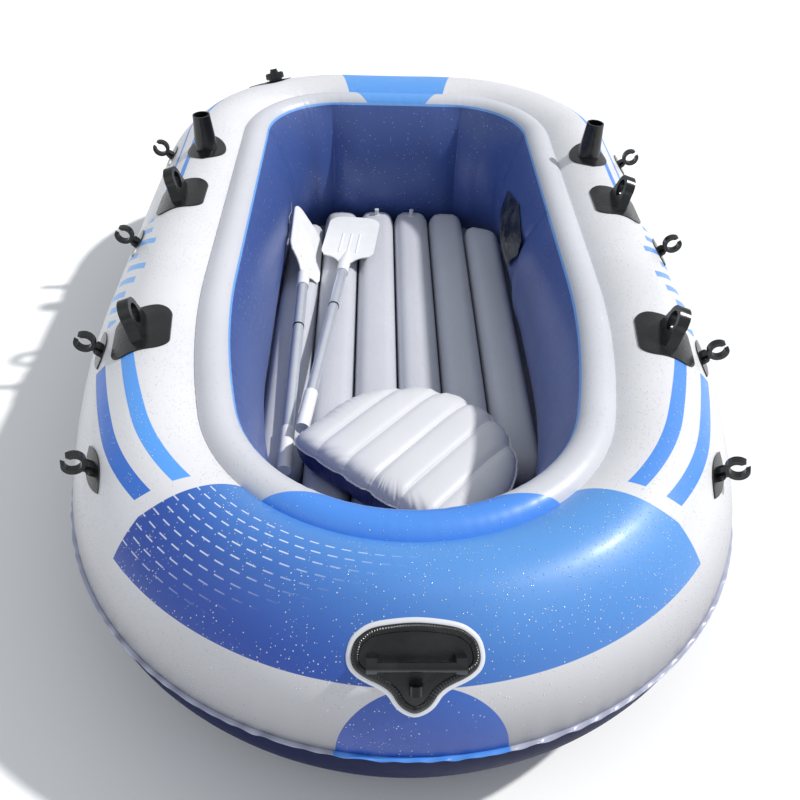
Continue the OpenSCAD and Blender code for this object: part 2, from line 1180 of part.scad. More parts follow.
hull_top_skin();
hull_bottom_skin();
ring_top_skin();
inner_wall_skin();
chamber_web();
seam_flange();
bottom_sheet();
floor_mat();
rowlock_aft_star();
rowlock_fore_star();
rowlock_aft_port();
rowlock_fore_port();
rod_holder_star();
rod_holder_port();
clip_star_1();
clip_star_2();
clip_star_3();
clip_star_4();
clip_port_1();
clip_port_2();
clip_port_3();
clip_port_4();
bow_patch();
bow_handle();
tow_eye();
valve_base();
valve_collar();
valve_cap();
floor_valve_star();
floor_valve_port();
floor_plug_star();
floor_plug_port();
repair_film();
wall_pouch();
cushion_top_skin();
cushion_bottom_skin();
cushion_webs();
cushion_valve();
cushion_plug();
oar_star_grip();
oar_star_upper();
oar_star_ferrule();
oar_star_lower();
oar_star_blade();
oar_port_grip();
oar_port_upper();
oar_port_ferrule();
oar_port_lower();
oar_port_blade();
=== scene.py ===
"""Open inflatable rowing boat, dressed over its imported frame.

The fabric skins, the floor, the cushion and the small sheets are worked out here as surfaces; the
moulded fittings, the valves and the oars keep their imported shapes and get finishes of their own.
All sizes are metres. The bow points to -Y, port is +X and the boat stands on Z = 0.
"""

from __future__ import annotations

import json
import logging
import math
from dataclasses import dataclass, field
from enum import Enum
from typing import Any, Callable, Sequence

import bmesh
import bpy
import numpy as np
from mathutils import Matrix, Vector


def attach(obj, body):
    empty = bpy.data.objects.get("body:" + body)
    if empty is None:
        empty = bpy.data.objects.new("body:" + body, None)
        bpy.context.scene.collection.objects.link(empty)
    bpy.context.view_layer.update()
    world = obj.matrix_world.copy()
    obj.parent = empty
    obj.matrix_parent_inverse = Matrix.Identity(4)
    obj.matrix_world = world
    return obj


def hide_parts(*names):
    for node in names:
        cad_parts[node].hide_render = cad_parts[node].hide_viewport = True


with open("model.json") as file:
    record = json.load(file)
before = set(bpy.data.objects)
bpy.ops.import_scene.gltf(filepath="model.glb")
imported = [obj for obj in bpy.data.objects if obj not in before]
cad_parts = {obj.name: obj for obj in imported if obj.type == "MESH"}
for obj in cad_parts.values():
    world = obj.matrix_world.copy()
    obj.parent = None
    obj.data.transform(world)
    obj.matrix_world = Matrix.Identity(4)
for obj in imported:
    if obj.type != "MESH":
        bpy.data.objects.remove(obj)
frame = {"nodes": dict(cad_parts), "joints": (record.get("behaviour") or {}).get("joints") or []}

LOG = logging.getLogger("boat")
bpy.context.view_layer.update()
Array = np.ndarray
Colour = tuple[float, float, float]


# ---------------------------------------------------------------- shader maths


class Sock:
    """One value in a shader. Arithmetic on it adds Math nodes."""

    def __init__(self, paint: "Paint", out: Any) -> None:
        """Wraps an output socket of a paint's node."""
        self.paint = paint
        self.out = out

    def _do(self, operation: str, *values: Any) -> "Sock":
        """Adds one Math node with the given operation and values."""
        return self.paint.math(operation, *values)

    def __add__(self, other: Any) -> "Sock":
        """Sum."""
        return self._do("ADD", self, other)

    def __radd__(self, other: Any) -> "Sock":
        """Sum, reflected."""
        return self._do("ADD", other, self)

    def __sub__(self, other: Any) -> "Sock":
        """Difference."""
        return self._do("SUBTRACT", self, other)

    def __rsub__(self, other: Any) -> "Sock":
        """Difference, reflected."""
        return self._do("SUBTRACT", other, self)

    def __mul__(self, other: Any) -> "Sock":
        """Product."""
        return self._do("MULTIPLY", self, other)

    def __rmul__(self, other: Any) -> "Sock":
        """Product, reflected."""
        return self._do("MULTIPLY", other, self)

    def __truediv__(self, other: Any) -> "Sock":
        """Quotient."""
        return self._do("DIVIDE", self, other)

    def __abs__(self) -> "Sock":
        """Absolute value."""
        return self._do("ABSOLUTE", self)

    def frac(self) -> "Sock":
        """Part after the whole number."""
        return self._do("FRACT", self)

    def floor(self) -> "Sock":
        """Whole number below."""
        return self._do("FLOOR", self)

    def sin(self) -> "Sock":
        """Sine of an angle in radians."""
        return self._do("SINE", self)

    def root(self) -> "Sock":
        """Square root."""
        return self._do("SQRT", self)

    def least(self, other: Any) -> "Sock":
        """Smaller of the two."""
        return self._do("MINIMUM", self, other)

    def most(self, other: Any) -> "Sock":
        """Larger of the two."""
        return self._do("MAXIMUM", self, other)

    def over(self, edge: Any, soft: float = 0.0005) -> "Sock":
        """1 where the value is over an edge and 0 below it.

        Args:
            edge: The edge, a number or another value.
            soft: Half the width over which the step runs.

        Returns:
            The mask.
        """
        gap = self - edge
        ends = {0: gap, 1: -soft, 2: soft}
        return self.paint.node("ShaderNodeMapRange", {"interpolation_type": "SMOOTHSTEP"}, ends)[0]

    def under(self, edge: Any, soft: float = 0.0005) -> "Sock":
        """1 where the value is under an edge and 0 above it."""
        return 1 - self.over(edge, soft)


class Paint:
    """Builds one procedural material around a Principled shader."""

    def __init__(self, name: str) -> None:
        """Starts an empty material.

        Args:
            name: The material's name.
        """
        self.material = bpy.data.materials.new(name)
        self.material.use_nodes = True
        self.tree = self.material.node_tree
        self.tree.nodes.clear()
        self.shader = self.tree.nodes.new("ShaderNodeBsdfPrincipled")
        end = self.tree.nodes.new("ShaderNodeOutputMaterial")
        self.tree.links.new(self.shader.outputs[0], end.inputs[0])

    def node(self, kind: str, settings: dict[str, Any] | None = None,
             inputs: dict[Any, Any] | None = None) -> list[Sock]:
        """Adds any node.

        Args:
            kind: The node's type.
            settings: Its settings, set first; stops is a ramp's list of (place, colour).
            inputs: Values or other sockets, by the socket's name or number.

        Returns:
            Its outputs.
        """
        made = self.tree.nodes.new(kind)
        for key, value in (settings or {}).items():
            if key == "stops":
                ramp = made.color_ramp
                while len(ramp.elements) < len(value):
                    ramp.elements.new(1.0)
                for stop, (place, colour) in zip(ramp.elements, value):
                    stop.position = place
                    stop.color = (*colour, 1.0)
            else:
                setattr(made, key, value)
        for key, value in (inputs or {}).items():
            self.feed(made.inputs[key], value)
        return [Sock(self, out) for out in made.outputs]

    def feed(self, socket: Any, value: Any) -> None:
        """Links a value to a socket, or sets the socket to a plain number or colour.

        Args:
            socket: An input socket of a node.
            value: Another value of the shader, a number, or a colour.
        """
        if isinstance(value, Sock):
            self.tree.links.new(value.out, socket)
        elif isinstance(value, (tuple, list)) and socket.type == "RGBA":
            socket.default_value = (*value[:3], 1.0)
        else:
            socket.default_value = value

    def math(self, operation: str, *values: Any) -> Sock:
        """Adds a Math node of the given operation."""
        return self.node("ShaderNodeMath", {"operation": operation}, dict(enumerate(values)))[0]

    def mix(self, mask: Any, low: Any, high: Any) -> Sock:
        """Colour low where the mask is 0 and colour high where it is 1."""
        return self.node("ShaderNodeMix", {"data_type": "RGBA"}, {0: mask, 6: low, 7: high})[2]

    def place(self) -> list[Sock]:
        """The X, Y and Z of a point in the boat's frame, in metres."""
        where = self.node("ShaderNodeTexCoord")[3]
        return self.node("ShaderNodeSeparateXYZ", None, {0: where})

    def spot(self) -> Sock:
        """The point itself, as a vector."""
        return self.node("ShaderNodeTexCoord")[3]

    def skin(self) -> list[Sock]:
        """The piece's own two lengths over its surface, in metres."""
        uv = self.node("ShaderNodeUVMap", {"uv_map": SKIN_UV})[0]
        return self.node("ShaderNodeSeparateXYZ", None, {0: uv})

    def noise(self, scale: float, detail: float = 2.0, where: Sock | None = None) -> Sock:
        """Soft noise from about 0 to 1.

        Args:
            scale: Bumps per metre.
            detail: Number of finer layers.
            where: The vector it is read at, the boat's own frame if none.

        Returns:
            The noise.
        """
        inputs = {"Vector": where or self.spot(), "Scale": scale, "Detail": detail}
        return self.node("ShaderNodeTexNoise", None, inputs)[0]

    def drops(self, scale: float, share: float, size: float) -> Sock:
        """Domes of standing water, 0 outside and up to 1 at a drop's middle.

        Args:
            scale: Cells per metre.
            share: Share of the cells that hold a drop.
            size: Radius of the largest drop in cells.

        Returns:
            The height of the drops.
        """
        cells = self.node("ShaderNodeTexVoronoi", {"feature": "F1"},
                          {"Vector": self.spot(), "Scale": scale, "Randomness": 0.9})
        parts = self.node("ShaderNodeSeparateColor", None, {0: cells[1]})
        patches = self.noise(6.0, 4.0).over(0.47, 0.14)
        held = parts[0].under(patches * share, 0.001)
        radius = size * (0.35 + 0.65 * parts[1])
        return held * (1 - cells[0] / radius).most(0.0).root()

    def bump(self, *layers: tuple[Sock, float]) -> None:
        """Feeds the shader's Normal from one or more heights, each with its depth in metres."""
        total: Any = 0.0
        for height, depth in layers:
            total = height * depth + total
        normal = self.node("ShaderNodeBump", None, {"Strength": 1.0, "Distance": 1.0, "Height": total})
        self.feed(self.shader.inputs["Normal"], normal[0])

    def set(self, **values: Any) -> None:
        """Feeds sockets of the shader; an underscore stands for a space."""
        for key, value in values.items():
            self.feed(self.shader.inputs[key.replace("_", " ")], value)


SKIN_UV = "Skin"


def outward(made: bpy.types.Object) -> None:
    """Turns every face of a closed piece outwards.

    Args:
        made: The piece.
    """
    shell = bmesh.new()
    shell.from_mesh(made.data)
    bmesh.ops.recalc_face_normals(shell, faces=shell.faces)
    shell.to_mesh(made.data)
    shell.free()


# ---------------------------------------------------------------- finishes


class Tone(Enum):
    """Base colours, linear."""

    WHITE = (0.72, 0.72, 0.75)
    # painted shade toward the lower seam of the top skin, over a band whose fabric is also a little greyer
    SHADED = (0.24, 0.24, 0.27)
    PALE = (0.60, 0.61, 0.66)
    NAVY = (0.003, 0.007, 0.050)
    WALL = (0.052, 0.098, 0.32)
    # ends of the bow panel's blue, spread by painted light: SKY on the lit top and port side, DEEP low and
    # to starboard
    SKY = (0.095, 0.30, 0.70)
    DEEP = (0.014, 0.062, 0.36)
    STRIPE = (0.070, 0.26, 0.74)
    BLACK = (0.006, 0.006, 0.007)
    # painted highlight of the water drops; also the white of the printed dashes on the bow panel
    GLINT_AND_DASH_WHITE = (0.82, 0.87, 0.95)


@dataclass(frozen=True)
class Coated:
    """Coated fabric: a fine leather-like grain, faint cloud in the colour, and standing water whose drops
    carry a painted highlight.
    """

    name: str
    colour: Colour
    rough: float = 0.42
    grain: float = 0.00006
    cloud: float = 0.06
    wet: float = 0.0
    coat: float = 0.15
    shine: float = 0.5

    def make(self, graphic: Callable[[Paint, Sock], Sock] | None = None) -> bpy.types.Material:
        """Builds the material.

        Args:
            graphic: Lays printed colours over the base colour.

        Returns:
            The material.
        """
        paint = Paint(self.name)
        cloud = paint.noise(5.0, 3.0)
        dark = tuple(c * (1 - 2 * self.cloud) for c in self.colour)
        light = tuple(min(1.0, c * (1 + self.cloud)) for c in self.colour)
        base = paint.mix(cloud, dark, light)
        if graphic:
            base = graphic(paint, base)
        fine = paint.noise(850.0, 2.0)
        broad = paint.noise(60.0, 3.0)
        layers = [(fine, self.grain), (broad, self.grain * 3)]
        rough = self.rough + 0.10 * (broad - 0.5)
        if self.wet:
            water = paint.drops(185.0, self.wet, 0.36)
            layers.append((water, 0.0010))
            rough = rough * (1 - 0.85 * water.over(0.05, 0.04))
            # painted highlight: the middles of the drops are painted near white
            base = paint.mix(0.65 * water.over(0.60, 0.12), base, Tone.GLINT_AND_DASH_WHITE.value)
        paint.bump(*layers)
        paint.set(Base_Color=base, Roughness=rough, Coat_Weight=self.coat, Coat_Roughness=0.25,
                  Specular_IOR_Level=self.shine)
        return paint.material


@dataclass(frozen=True)
class Moulded:
    """Moulded plastic or rubber: a fine spark-eroded grain, with parting haze and edge wear."""

    name: str
    colour: Colour
    rough: float = 0.38
    grain: float = 0.00008
    scale: float = 900.0
    wear: float = 0.05

    def make(self) -> bpy.types.Material:
        """Builds the material.

        Returns:
            The material.
        """
        paint = Paint(self.name)
        haze = paint.noise(22.0, 4.0)
        worn = tuple(c + self.wear * (1 - c) for c in self.colour)
        base = paint.mix(haze.over(0.55, 0.2), self.colour, worn)
        fine = paint.noise(self.scale, 2.0)
        wave = paint.noise(90.0, 2.0)
        paint.bump((fine, self.grain), (wave, self.grain * 4))
        paint.set(Base_Color=base, Roughness=self.rough + 0.16 * (haze - 0.5))
        return paint.material


@dataclass(frozen=True)
class Drawn:
    """Drawn and anodised metal tube: long fine scratches round and along the tube."""

    name: str
    colour: Colour
    along: tuple[float, float, float]
    rough: float = 0.34

    def make(self) -> bpy.types.Material:
        """Builds the material.

        Returns:
            The material.
        """
        paint = Paint(self.name)
        line = Vector(self.along).normalized()
        spot = paint.spot()
        run = paint.node("ShaderNodeVectorMath", {"operation": "DOT_PRODUCT"}, {0: spot, 1: tuple(line)})[1]
        back = paint.node("ShaderNodeVectorMath", {"operation": "SCALE"},
                          {0: tuple(line), "Scale": run * -0.985})[0]
        flat = paint.node("ShaderNodeVectorMath", {"operation": "ADD"}, {0: spot, 1: back})[0]
        lines = paint.noise(1400.0, 3.0, flat)
        haze = paint.noise(30.0, 3.0)
        dark = tuple(c * 0.86 for c in self.colour)
        paint.bump((lines, 0.00004))
        paint.set(Base_Color=paint.mix(haze, dark, self.colour), Metallic=0.55,
                  Roughness=self.rough + 0.2 * (lines - 0.5))
        return paint.material


@dataclass(frozen=True)
class Clear:
    """Clear film or clear moulded plastic, milky where it is thick."""

    name: str
    colour: Colour
    alpha: float
    rough: float = 0.16

    def make(self) -> bpy.types.Material:
        """Builds the material.

        Returns:
            The material.
        """
        paint = Paint(self.name)
        haze = paint.noise(45.0, 4.0)
        crease = paint.noise(24.0, 2.0)
        paint.bump((crease, 0.002), (paint.noise(500.0, 2.0), 0.00008))
        paint.set(Base_Color=paint.mix(haze, tuple(0.88 * c for c in self.colour), self.colour),
                  Roughness=self.rough + 0.2 * haze, Alpha=self.alpha + 0.35 * (haze - 0.5),
                  Coat_Weight=0.4, Coat_Roughness=0.1)
        return paint.material


# ---------------------------------------------------------------- surfaces


def surface(name: str, points: Array, lengths: Array | None = None, round_u: bool = False,
            round_v: bool = False) -> bpy.types.Object:
    """Makes a mesh of a grid of points, with quads between neighbours.

    Args:
        name: The piece's name.
        points: Points as (rows, columns, 3), rows running along u.
        lengths: The grid's two lengths over the surface as (rows, columns, 2).
        round_u: Joins the last row to the first.
        round_v: Joins the last column to the first.

    Returns:
        The new object, at the origin.
    """
    rows, columns = points.shape[:2]
    u = np.arange(rows if round_u else rows - 1)
    v = np.arange(columns if round_v else columns - 1)
    uu, vv = np.meshgrid(u, v, indexing="ij")
    u1, v1 = (uu + 1) % rows, (vv + 1) % columns
    quads = np.stack([uu * columns + vv, u1 * columns + vv, u1 * columns + v1, uu * columns + v1], -1)
    quads = quads.reshape(-1, 4)
    mesh = bpy.data.meshes.new(name)
    mesh.vertices.add(rows * columns)
    mesh.vertices.foreach_set("co", points.reshape(-1).astype(np.float32))
    mesh.loops.add(quads.size)
    mesh.loops.foreach_set("vertex_index", quads.reshape(-1).astype(np.int32))
    mesh.polygons.add(len(quads))
    mesh.polygons.foreach_set("loop_start", np.arange(0, quads.size, 4, dtype=np.int32))
    mesh.polygons.foreach_set("use_smooth", np.ones(len(quads), bool))
    mesh.update(calc_edges=True)
    mesh.validate()
    if lengths is not None:
        flat = lengths.reshape(-1, 2)[quads.reshape(-1)].astype(np.float32)
        mesh.uv_layers.new(name=SKIN_UV).data.foreach_set("uv", flat.reshape(-1))
    made = bpy.data.objects.new(name, mesh)
    bpy.context.scene.collection.objects.link(made)
    return made


def normals(points: Array, round_u: bool = False) -> Array:
    """Unit normals of a grid: the cross product of its two slopes.

    Args:
        points: Points as (rows, columns, 3).
        round_u: True if the last row meets the first.

    Returns:
        Normals of the same shape.
    """
    if round_u:
        du = np.roll(points, -1, 0) - np.roll(points, 1, 0)
    else:
        du = np.gradient(points, axis=0)
    dv = np.gradient(points, axis=1)
    n = np.cross(du, dv)
    return n / np.maximum(np.linalg.norm(n, axis=-1, keepdims=True), 1e-12)


def ripple(x: Array, period: float, waves: Sequence[int], seed: int) -> Array:
    """Wrinkle line from -1 to 1: a sum of sines of whole numbers of waves with seeded phases.

    Args:
        x: Where, along a closed length.
        period: The closed length.
        waves: How many waves go round.
        seed: Seed of the phases and strengths.

    Returns:
        The wrinkle at each place.
    """
    rng = np.random.default_rng(seed)
    phase = rng.uniform(0, 2 * np.pi, len(waves))
    strength = rng.uniform(0.5, 1.0, len(waves))
    total = sum(a * np.sin(2 * np.pi * n * x / period + p) for n, p, a in zip(waves, phase, strength))
    return total / strength.sum()


def smooth(x: Array, low: float, high: float) -> Array:
    """Smooth step: 0 at low, 1 at high, cubic between."""
    t = np.clip((x - low) / (high - low), 0, 1)
    return t * t * (3 - 2 * t)


@dataclass
class HullPlan:
    """Centre line of the tube in plan: nose arc, bow side arc, straight side, corner and transom."""

    half_w: float = 0.450
    nose_r: float = 0.405
    bow_side_r: float = 2.135
    side_fore: float = -0.137986
    side_aft: float = 0.649
    nose_y: float = -0.530
    corner_r: float = 0.286
    turn: float = field(init=False)
    ends: list[float] = field(init=False)

    def __post_init__(self) -> None:
        """Works out the turn between the arcs and the lengths where the pieces end."""
        self.turn = math.acos((self.bow_side_r - self.half_w) / (self.bow_side_r - self.nose_r))
        parts = [self.nose_r * (math.pi / 2 - self.turn), self.bow_side_r * self.turn,
                 self.side_aft - self.side_fore, self.corner_r * math.pi / 2, self.half_w - self.corner_r]
        self.ends = list(np.cumsum([0.0] + parts))

    @property
    def length(self) -> float:
        """Whole length of the closed centre line."""
        return 2 * self.ends[-1]

    def at(self, s: Array) -> tuple[Array, Array]:
        """Point and outward normal on the centre line.

        Each piece is an arc p = c + r (cos t, sin t) or a line, and the starboard half mirrors port.

        Args:
            s: Length from the bow's tip, positive to port, up to half the whole length.

        Returns:
            Points and normals as (n, 2).
        """
        side = np.where(s < 0, -1.0, 1.0)
        a = np.abs(s)
        e = self.ends
        t0 = -np.pi / 2 + a / self.nose_r
        t1 = -self.turn + (a - e[1]) / self.bow_side_r
        t3 = (a - e[3]) / self.corner_r
        conds = [a <= e[1], a <= e[2], a <= e[3], a <= e[4]]
        angle = np.select(conds, [t0, t1, 0 * a, t3], np.pi / 2)
        normal = np.stack([np.cos(angle), np.sin(angle)], -1)
        arm = np.select(conds, [0 * a + self.nose_r, 0 * a + self.bow_side_r, 0 * a, 0 * a + self.corner_r],
                        self.corner_r)
        corner_x = self.half_w - self.corner_r
        cx = np.select(conds, [0 * a, 0 * a + self.half_w - self.bow_side_r, 0 * a + self.half_w,
                               0 * a + corner_x], corner_x - (a - e[4]))
        cy = np.select(conds, [0 * a + self.nose_y, 0 * a + self.side_fore, self.side_fore + a - e[2],
                               0 * a + self.side_aft], self.side_aft)
        point = np.stack([cx, cy], -1) + arm[:, None] * normal
        point[:, 0] *= side
        normal[:, 0] *= side
        return point, normal

    def sweep(self, s: Array, off: Array, z: Array) -> Array:
        """Carries a section round the plan: point = centre + off times normal, at height z.

        Args:
            s: Lengths round the plan as (n,).
            off: Distance out of the centre line, (m,) or (n, m).
            z: Height, (m,) or (n, m).

        Returns:
            Points as (n, m, 3).
        """
        point, normal = self.at(s)
        off, z = np.broadcast_arrays(off, z)
        if off.ndim == 1:
            off = np.broadcast_to(off, (len(s), len(off)))
            z = np.broadcast_to(z, off.shape)
        flat = point[:, None, :] + off[..., None] * normal[:, None, :]
        return np.concatenate([flat, z[..., None]], -1)

    def stations(self, count: int) -> Array:
        """Even stations round the plan, from the middle of the transom round by the starboard side."""
        return (np.arange(count) / count - 0.5) * self.length


@dataclass
class HullSection:
    """Section of the tube: round side, tighter shoulder, crease, small ring chamber, inner wall."""

    tube_r: float = 0.250
    shoulder_r: float = 0.110
    shoulder_from: float = math.radians(60)
    crease_at: float = math.radians(133)
    ring_r: float = 0.040
    ring_from: float = math.radians(29.5)
    ring_to: float = math.radians(150)
    wall_r: float = 0.420

    @staticmethod
    def _dir(a: Array | float) -> Array:
        """Unit vector at an angle."""
        return np.stack([np.cos(a), np.sin(a)], -1)

    @property
    def tube_c(self) -> Array:
        """Centre of the round side."""
        return np.array([0.0, self.tube_r])

    @property
    def shoulder_c(self) -> Array:
        """Centre of the shoulder's arc."""
        return self.tube_c + (self.tube_r - self.shoulder_r) * self._dir(self.shoulder_from)

    @property
    def crease(self) -> Array:
        """Bottom of the groove between the two chambers."""
        return self.shoulder_c + self.shoulder_r * self._dir(self.crease_at)

    @property
    def ring_c(self) -> Array:
        """Centre of the ring chamber's top."""
        return self.crease - self.ring_r * self._dir(self.ring_from)

    @property
    def wall_c(self) -> Array:
        """Centre of the inner wall's arc."""
        return self.ring_c - (self.wall_r - self.ring_r) * self._dir(self.ring_to)

    @property
    def side_len(self) -> float:
        """Length over the round side from the seam to the shoulder."""
        return self.tube_r * self.shoulder_from

    @property
    def top_len(self) -> float:
        """Length over the top skin from the seam to the crease."""
        return self.side_len + self.shoulder_r * (self.crease_at - self.shoulder_from)

    @property
    def ring_len(self) -> float:
        """Length over the ring's top."""
        return self.ring_r * (self.ring_to - self.ring_from)

    def outer(self, v: Array) -> Array:
        """Point of the outer tube: an arc of the round side, then an arc of the shoulder.

        Args:
            v: Length over the tube, 0 at the seam and positive upward.

        Returns:
            Distance out of the centre line and height, as (..., 2).
        """
        low = self.tube_c + self.tube_r * self._dir(np.minimum(v, self.side_len) / self.tube_r)
        a = self.shoulder_from + np.maximum(v - self.side_len, 0) / self.shoulder_r
        high = self.shoulder_c + self.shoulder_r * self._dir(a)
        return np.where((v <= self.side_len)[..., None], low, high)

    def ring(self, v: Array) -> Array:
        """Point of the ring at length v from the crease."""
        return self.ring_c + self.ring_r * self._dir(self.ring_from + v / self.ring_r)

    def wall(self, v: Array) -> Array:
        """Point of the inner wall at length v below the ring."""
        return self.wall_c + self.wall_r * self._dir(self.ring_to + v / self.wall_r)

    def wall_off(self, z: Array) -> Array:
        """Distance of the inner wall from the centre line at height z."""
        return self.wall_c[0] - np.sqrt(self.wall_r ** 2 - (z - self.wall_c[1]) ** 2)


PLAN = HullPlan()
SECTION = HullSection()


@dataclass
class Skin:
    """One fabric skin carried round the hull, with wrinkles along its welds."""

    name: str
    node: str
    curve: Callable[[Array], Array]
    span: tuple[float, float]
    round_count: int
    over_count: int
    weld_low: float
    weld_high: float
    waves: tuple[int, ...]
    seed: int
    flip: bool = False

    def build(self) -> bpy.types.Object:
        """Builds the skin.

        The section curve(v) is carried round the plan. Wrinkles push it along its normal by
        weld * ripple(s) * exp(-d / 0.028) with d the distance from each weld, and broad billows of
        half a millimetre run over the rest. Both fade to nothing on the weld itself.

        Returns:
            The skin's object.
        """
        s = PLAN.stations(self.round_count)
        v = np.linspace(self.span[0], self.span[1], self.over_count)
        shape = self.curve(v)
        points = PLAN.sweep(s, shape[:, 0], shape[:, 1])
        out = normals(points, True)
        ss, vv = np.meshgrid(s, v, indexing="ij")
        low, high = vv - self.span[0], self.span[1] - vv
        fine = ripple(ss, PLAN.length, self.waves, self.seed)
        other = ripple(ss, PLAN.length, self.waves, self.seed + 7)
        broad = ripple(ss + 0.35 * vv, PLAN.length, (9, 14, 21, 33), self.seed + 3)
        push = self.weld_low * fine * np.exp(-low / 0.028) * smooth(low, 0, 0.008)
        push += self.weld_high * other * np.exp(-high / 0.022) * smooth(high, 0, 0.006)
        push += 0.0006 * broad * smooth(low, 0, 0.06) * smooth(high, 0, 0.05)
        push = self.dents(push, ss, vv)
        points = points + push[..., None] * out
        if self.flip:
            points = points[:, ::-1]
            vv = vv[:, ::-1]
        made = surface(self.name, points, np.stack([ss, vv], -1), round_u=True)
        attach(made, "hull")
        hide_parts(self.node)
        return made

    def dents(self, push: Array, s: Array, v: Array) -> Array:
        """Adds the dents that only some skins have; the plain skin has none."""
        return push


@dataclass
class WallSkin(Skin):
    """Inner wall, pinched where its panels are welded at the stern corners and amidships."""

    def dents(self, push: Array, s: Array, v: Array) -> Array:
        """Adds narrow upright pinches: -depth * exp(-|s - s0| / width), strongest half way up.

        Args:
            push: Height of the wrinkles so far.
            s: Length round the plan.
            v: Length over the wall.

        Returns:
            The height with the pinches and the leaning fold on the port side.
        """
        belly = np.sin(np.pi * np.clip((v - self.span[0]) / (self.span[1] - self.span[0]), 0, 1)) ** 0.6
        half = PLAN.length / 2
        for place, depth, width in ((half - 0.215, 0.016, 0.030), (half - 0.60, 0.006, 0.020),
                                    (0.42, 0.004, 0.020), (0.0, 0.002, 0.015)):
            d = np.abs(np.abs(s) - place)
            push = push - depth * belly * np.exp(-d / width)
            push = push + 0.4 * depth * belly * np.exp(-((d - 3 * width) / (1.6 * width)) ** 2)
        lean = s - 1.36 - 0.35 * (v - self.span[0])
        push = push - 0.011 * belly * np.exp(-np.abs(lean) / 0.020)
        push = push + 0.007 * belly * np.exp(-((lean + 0.085) / 0.055) ** 2)
        return push


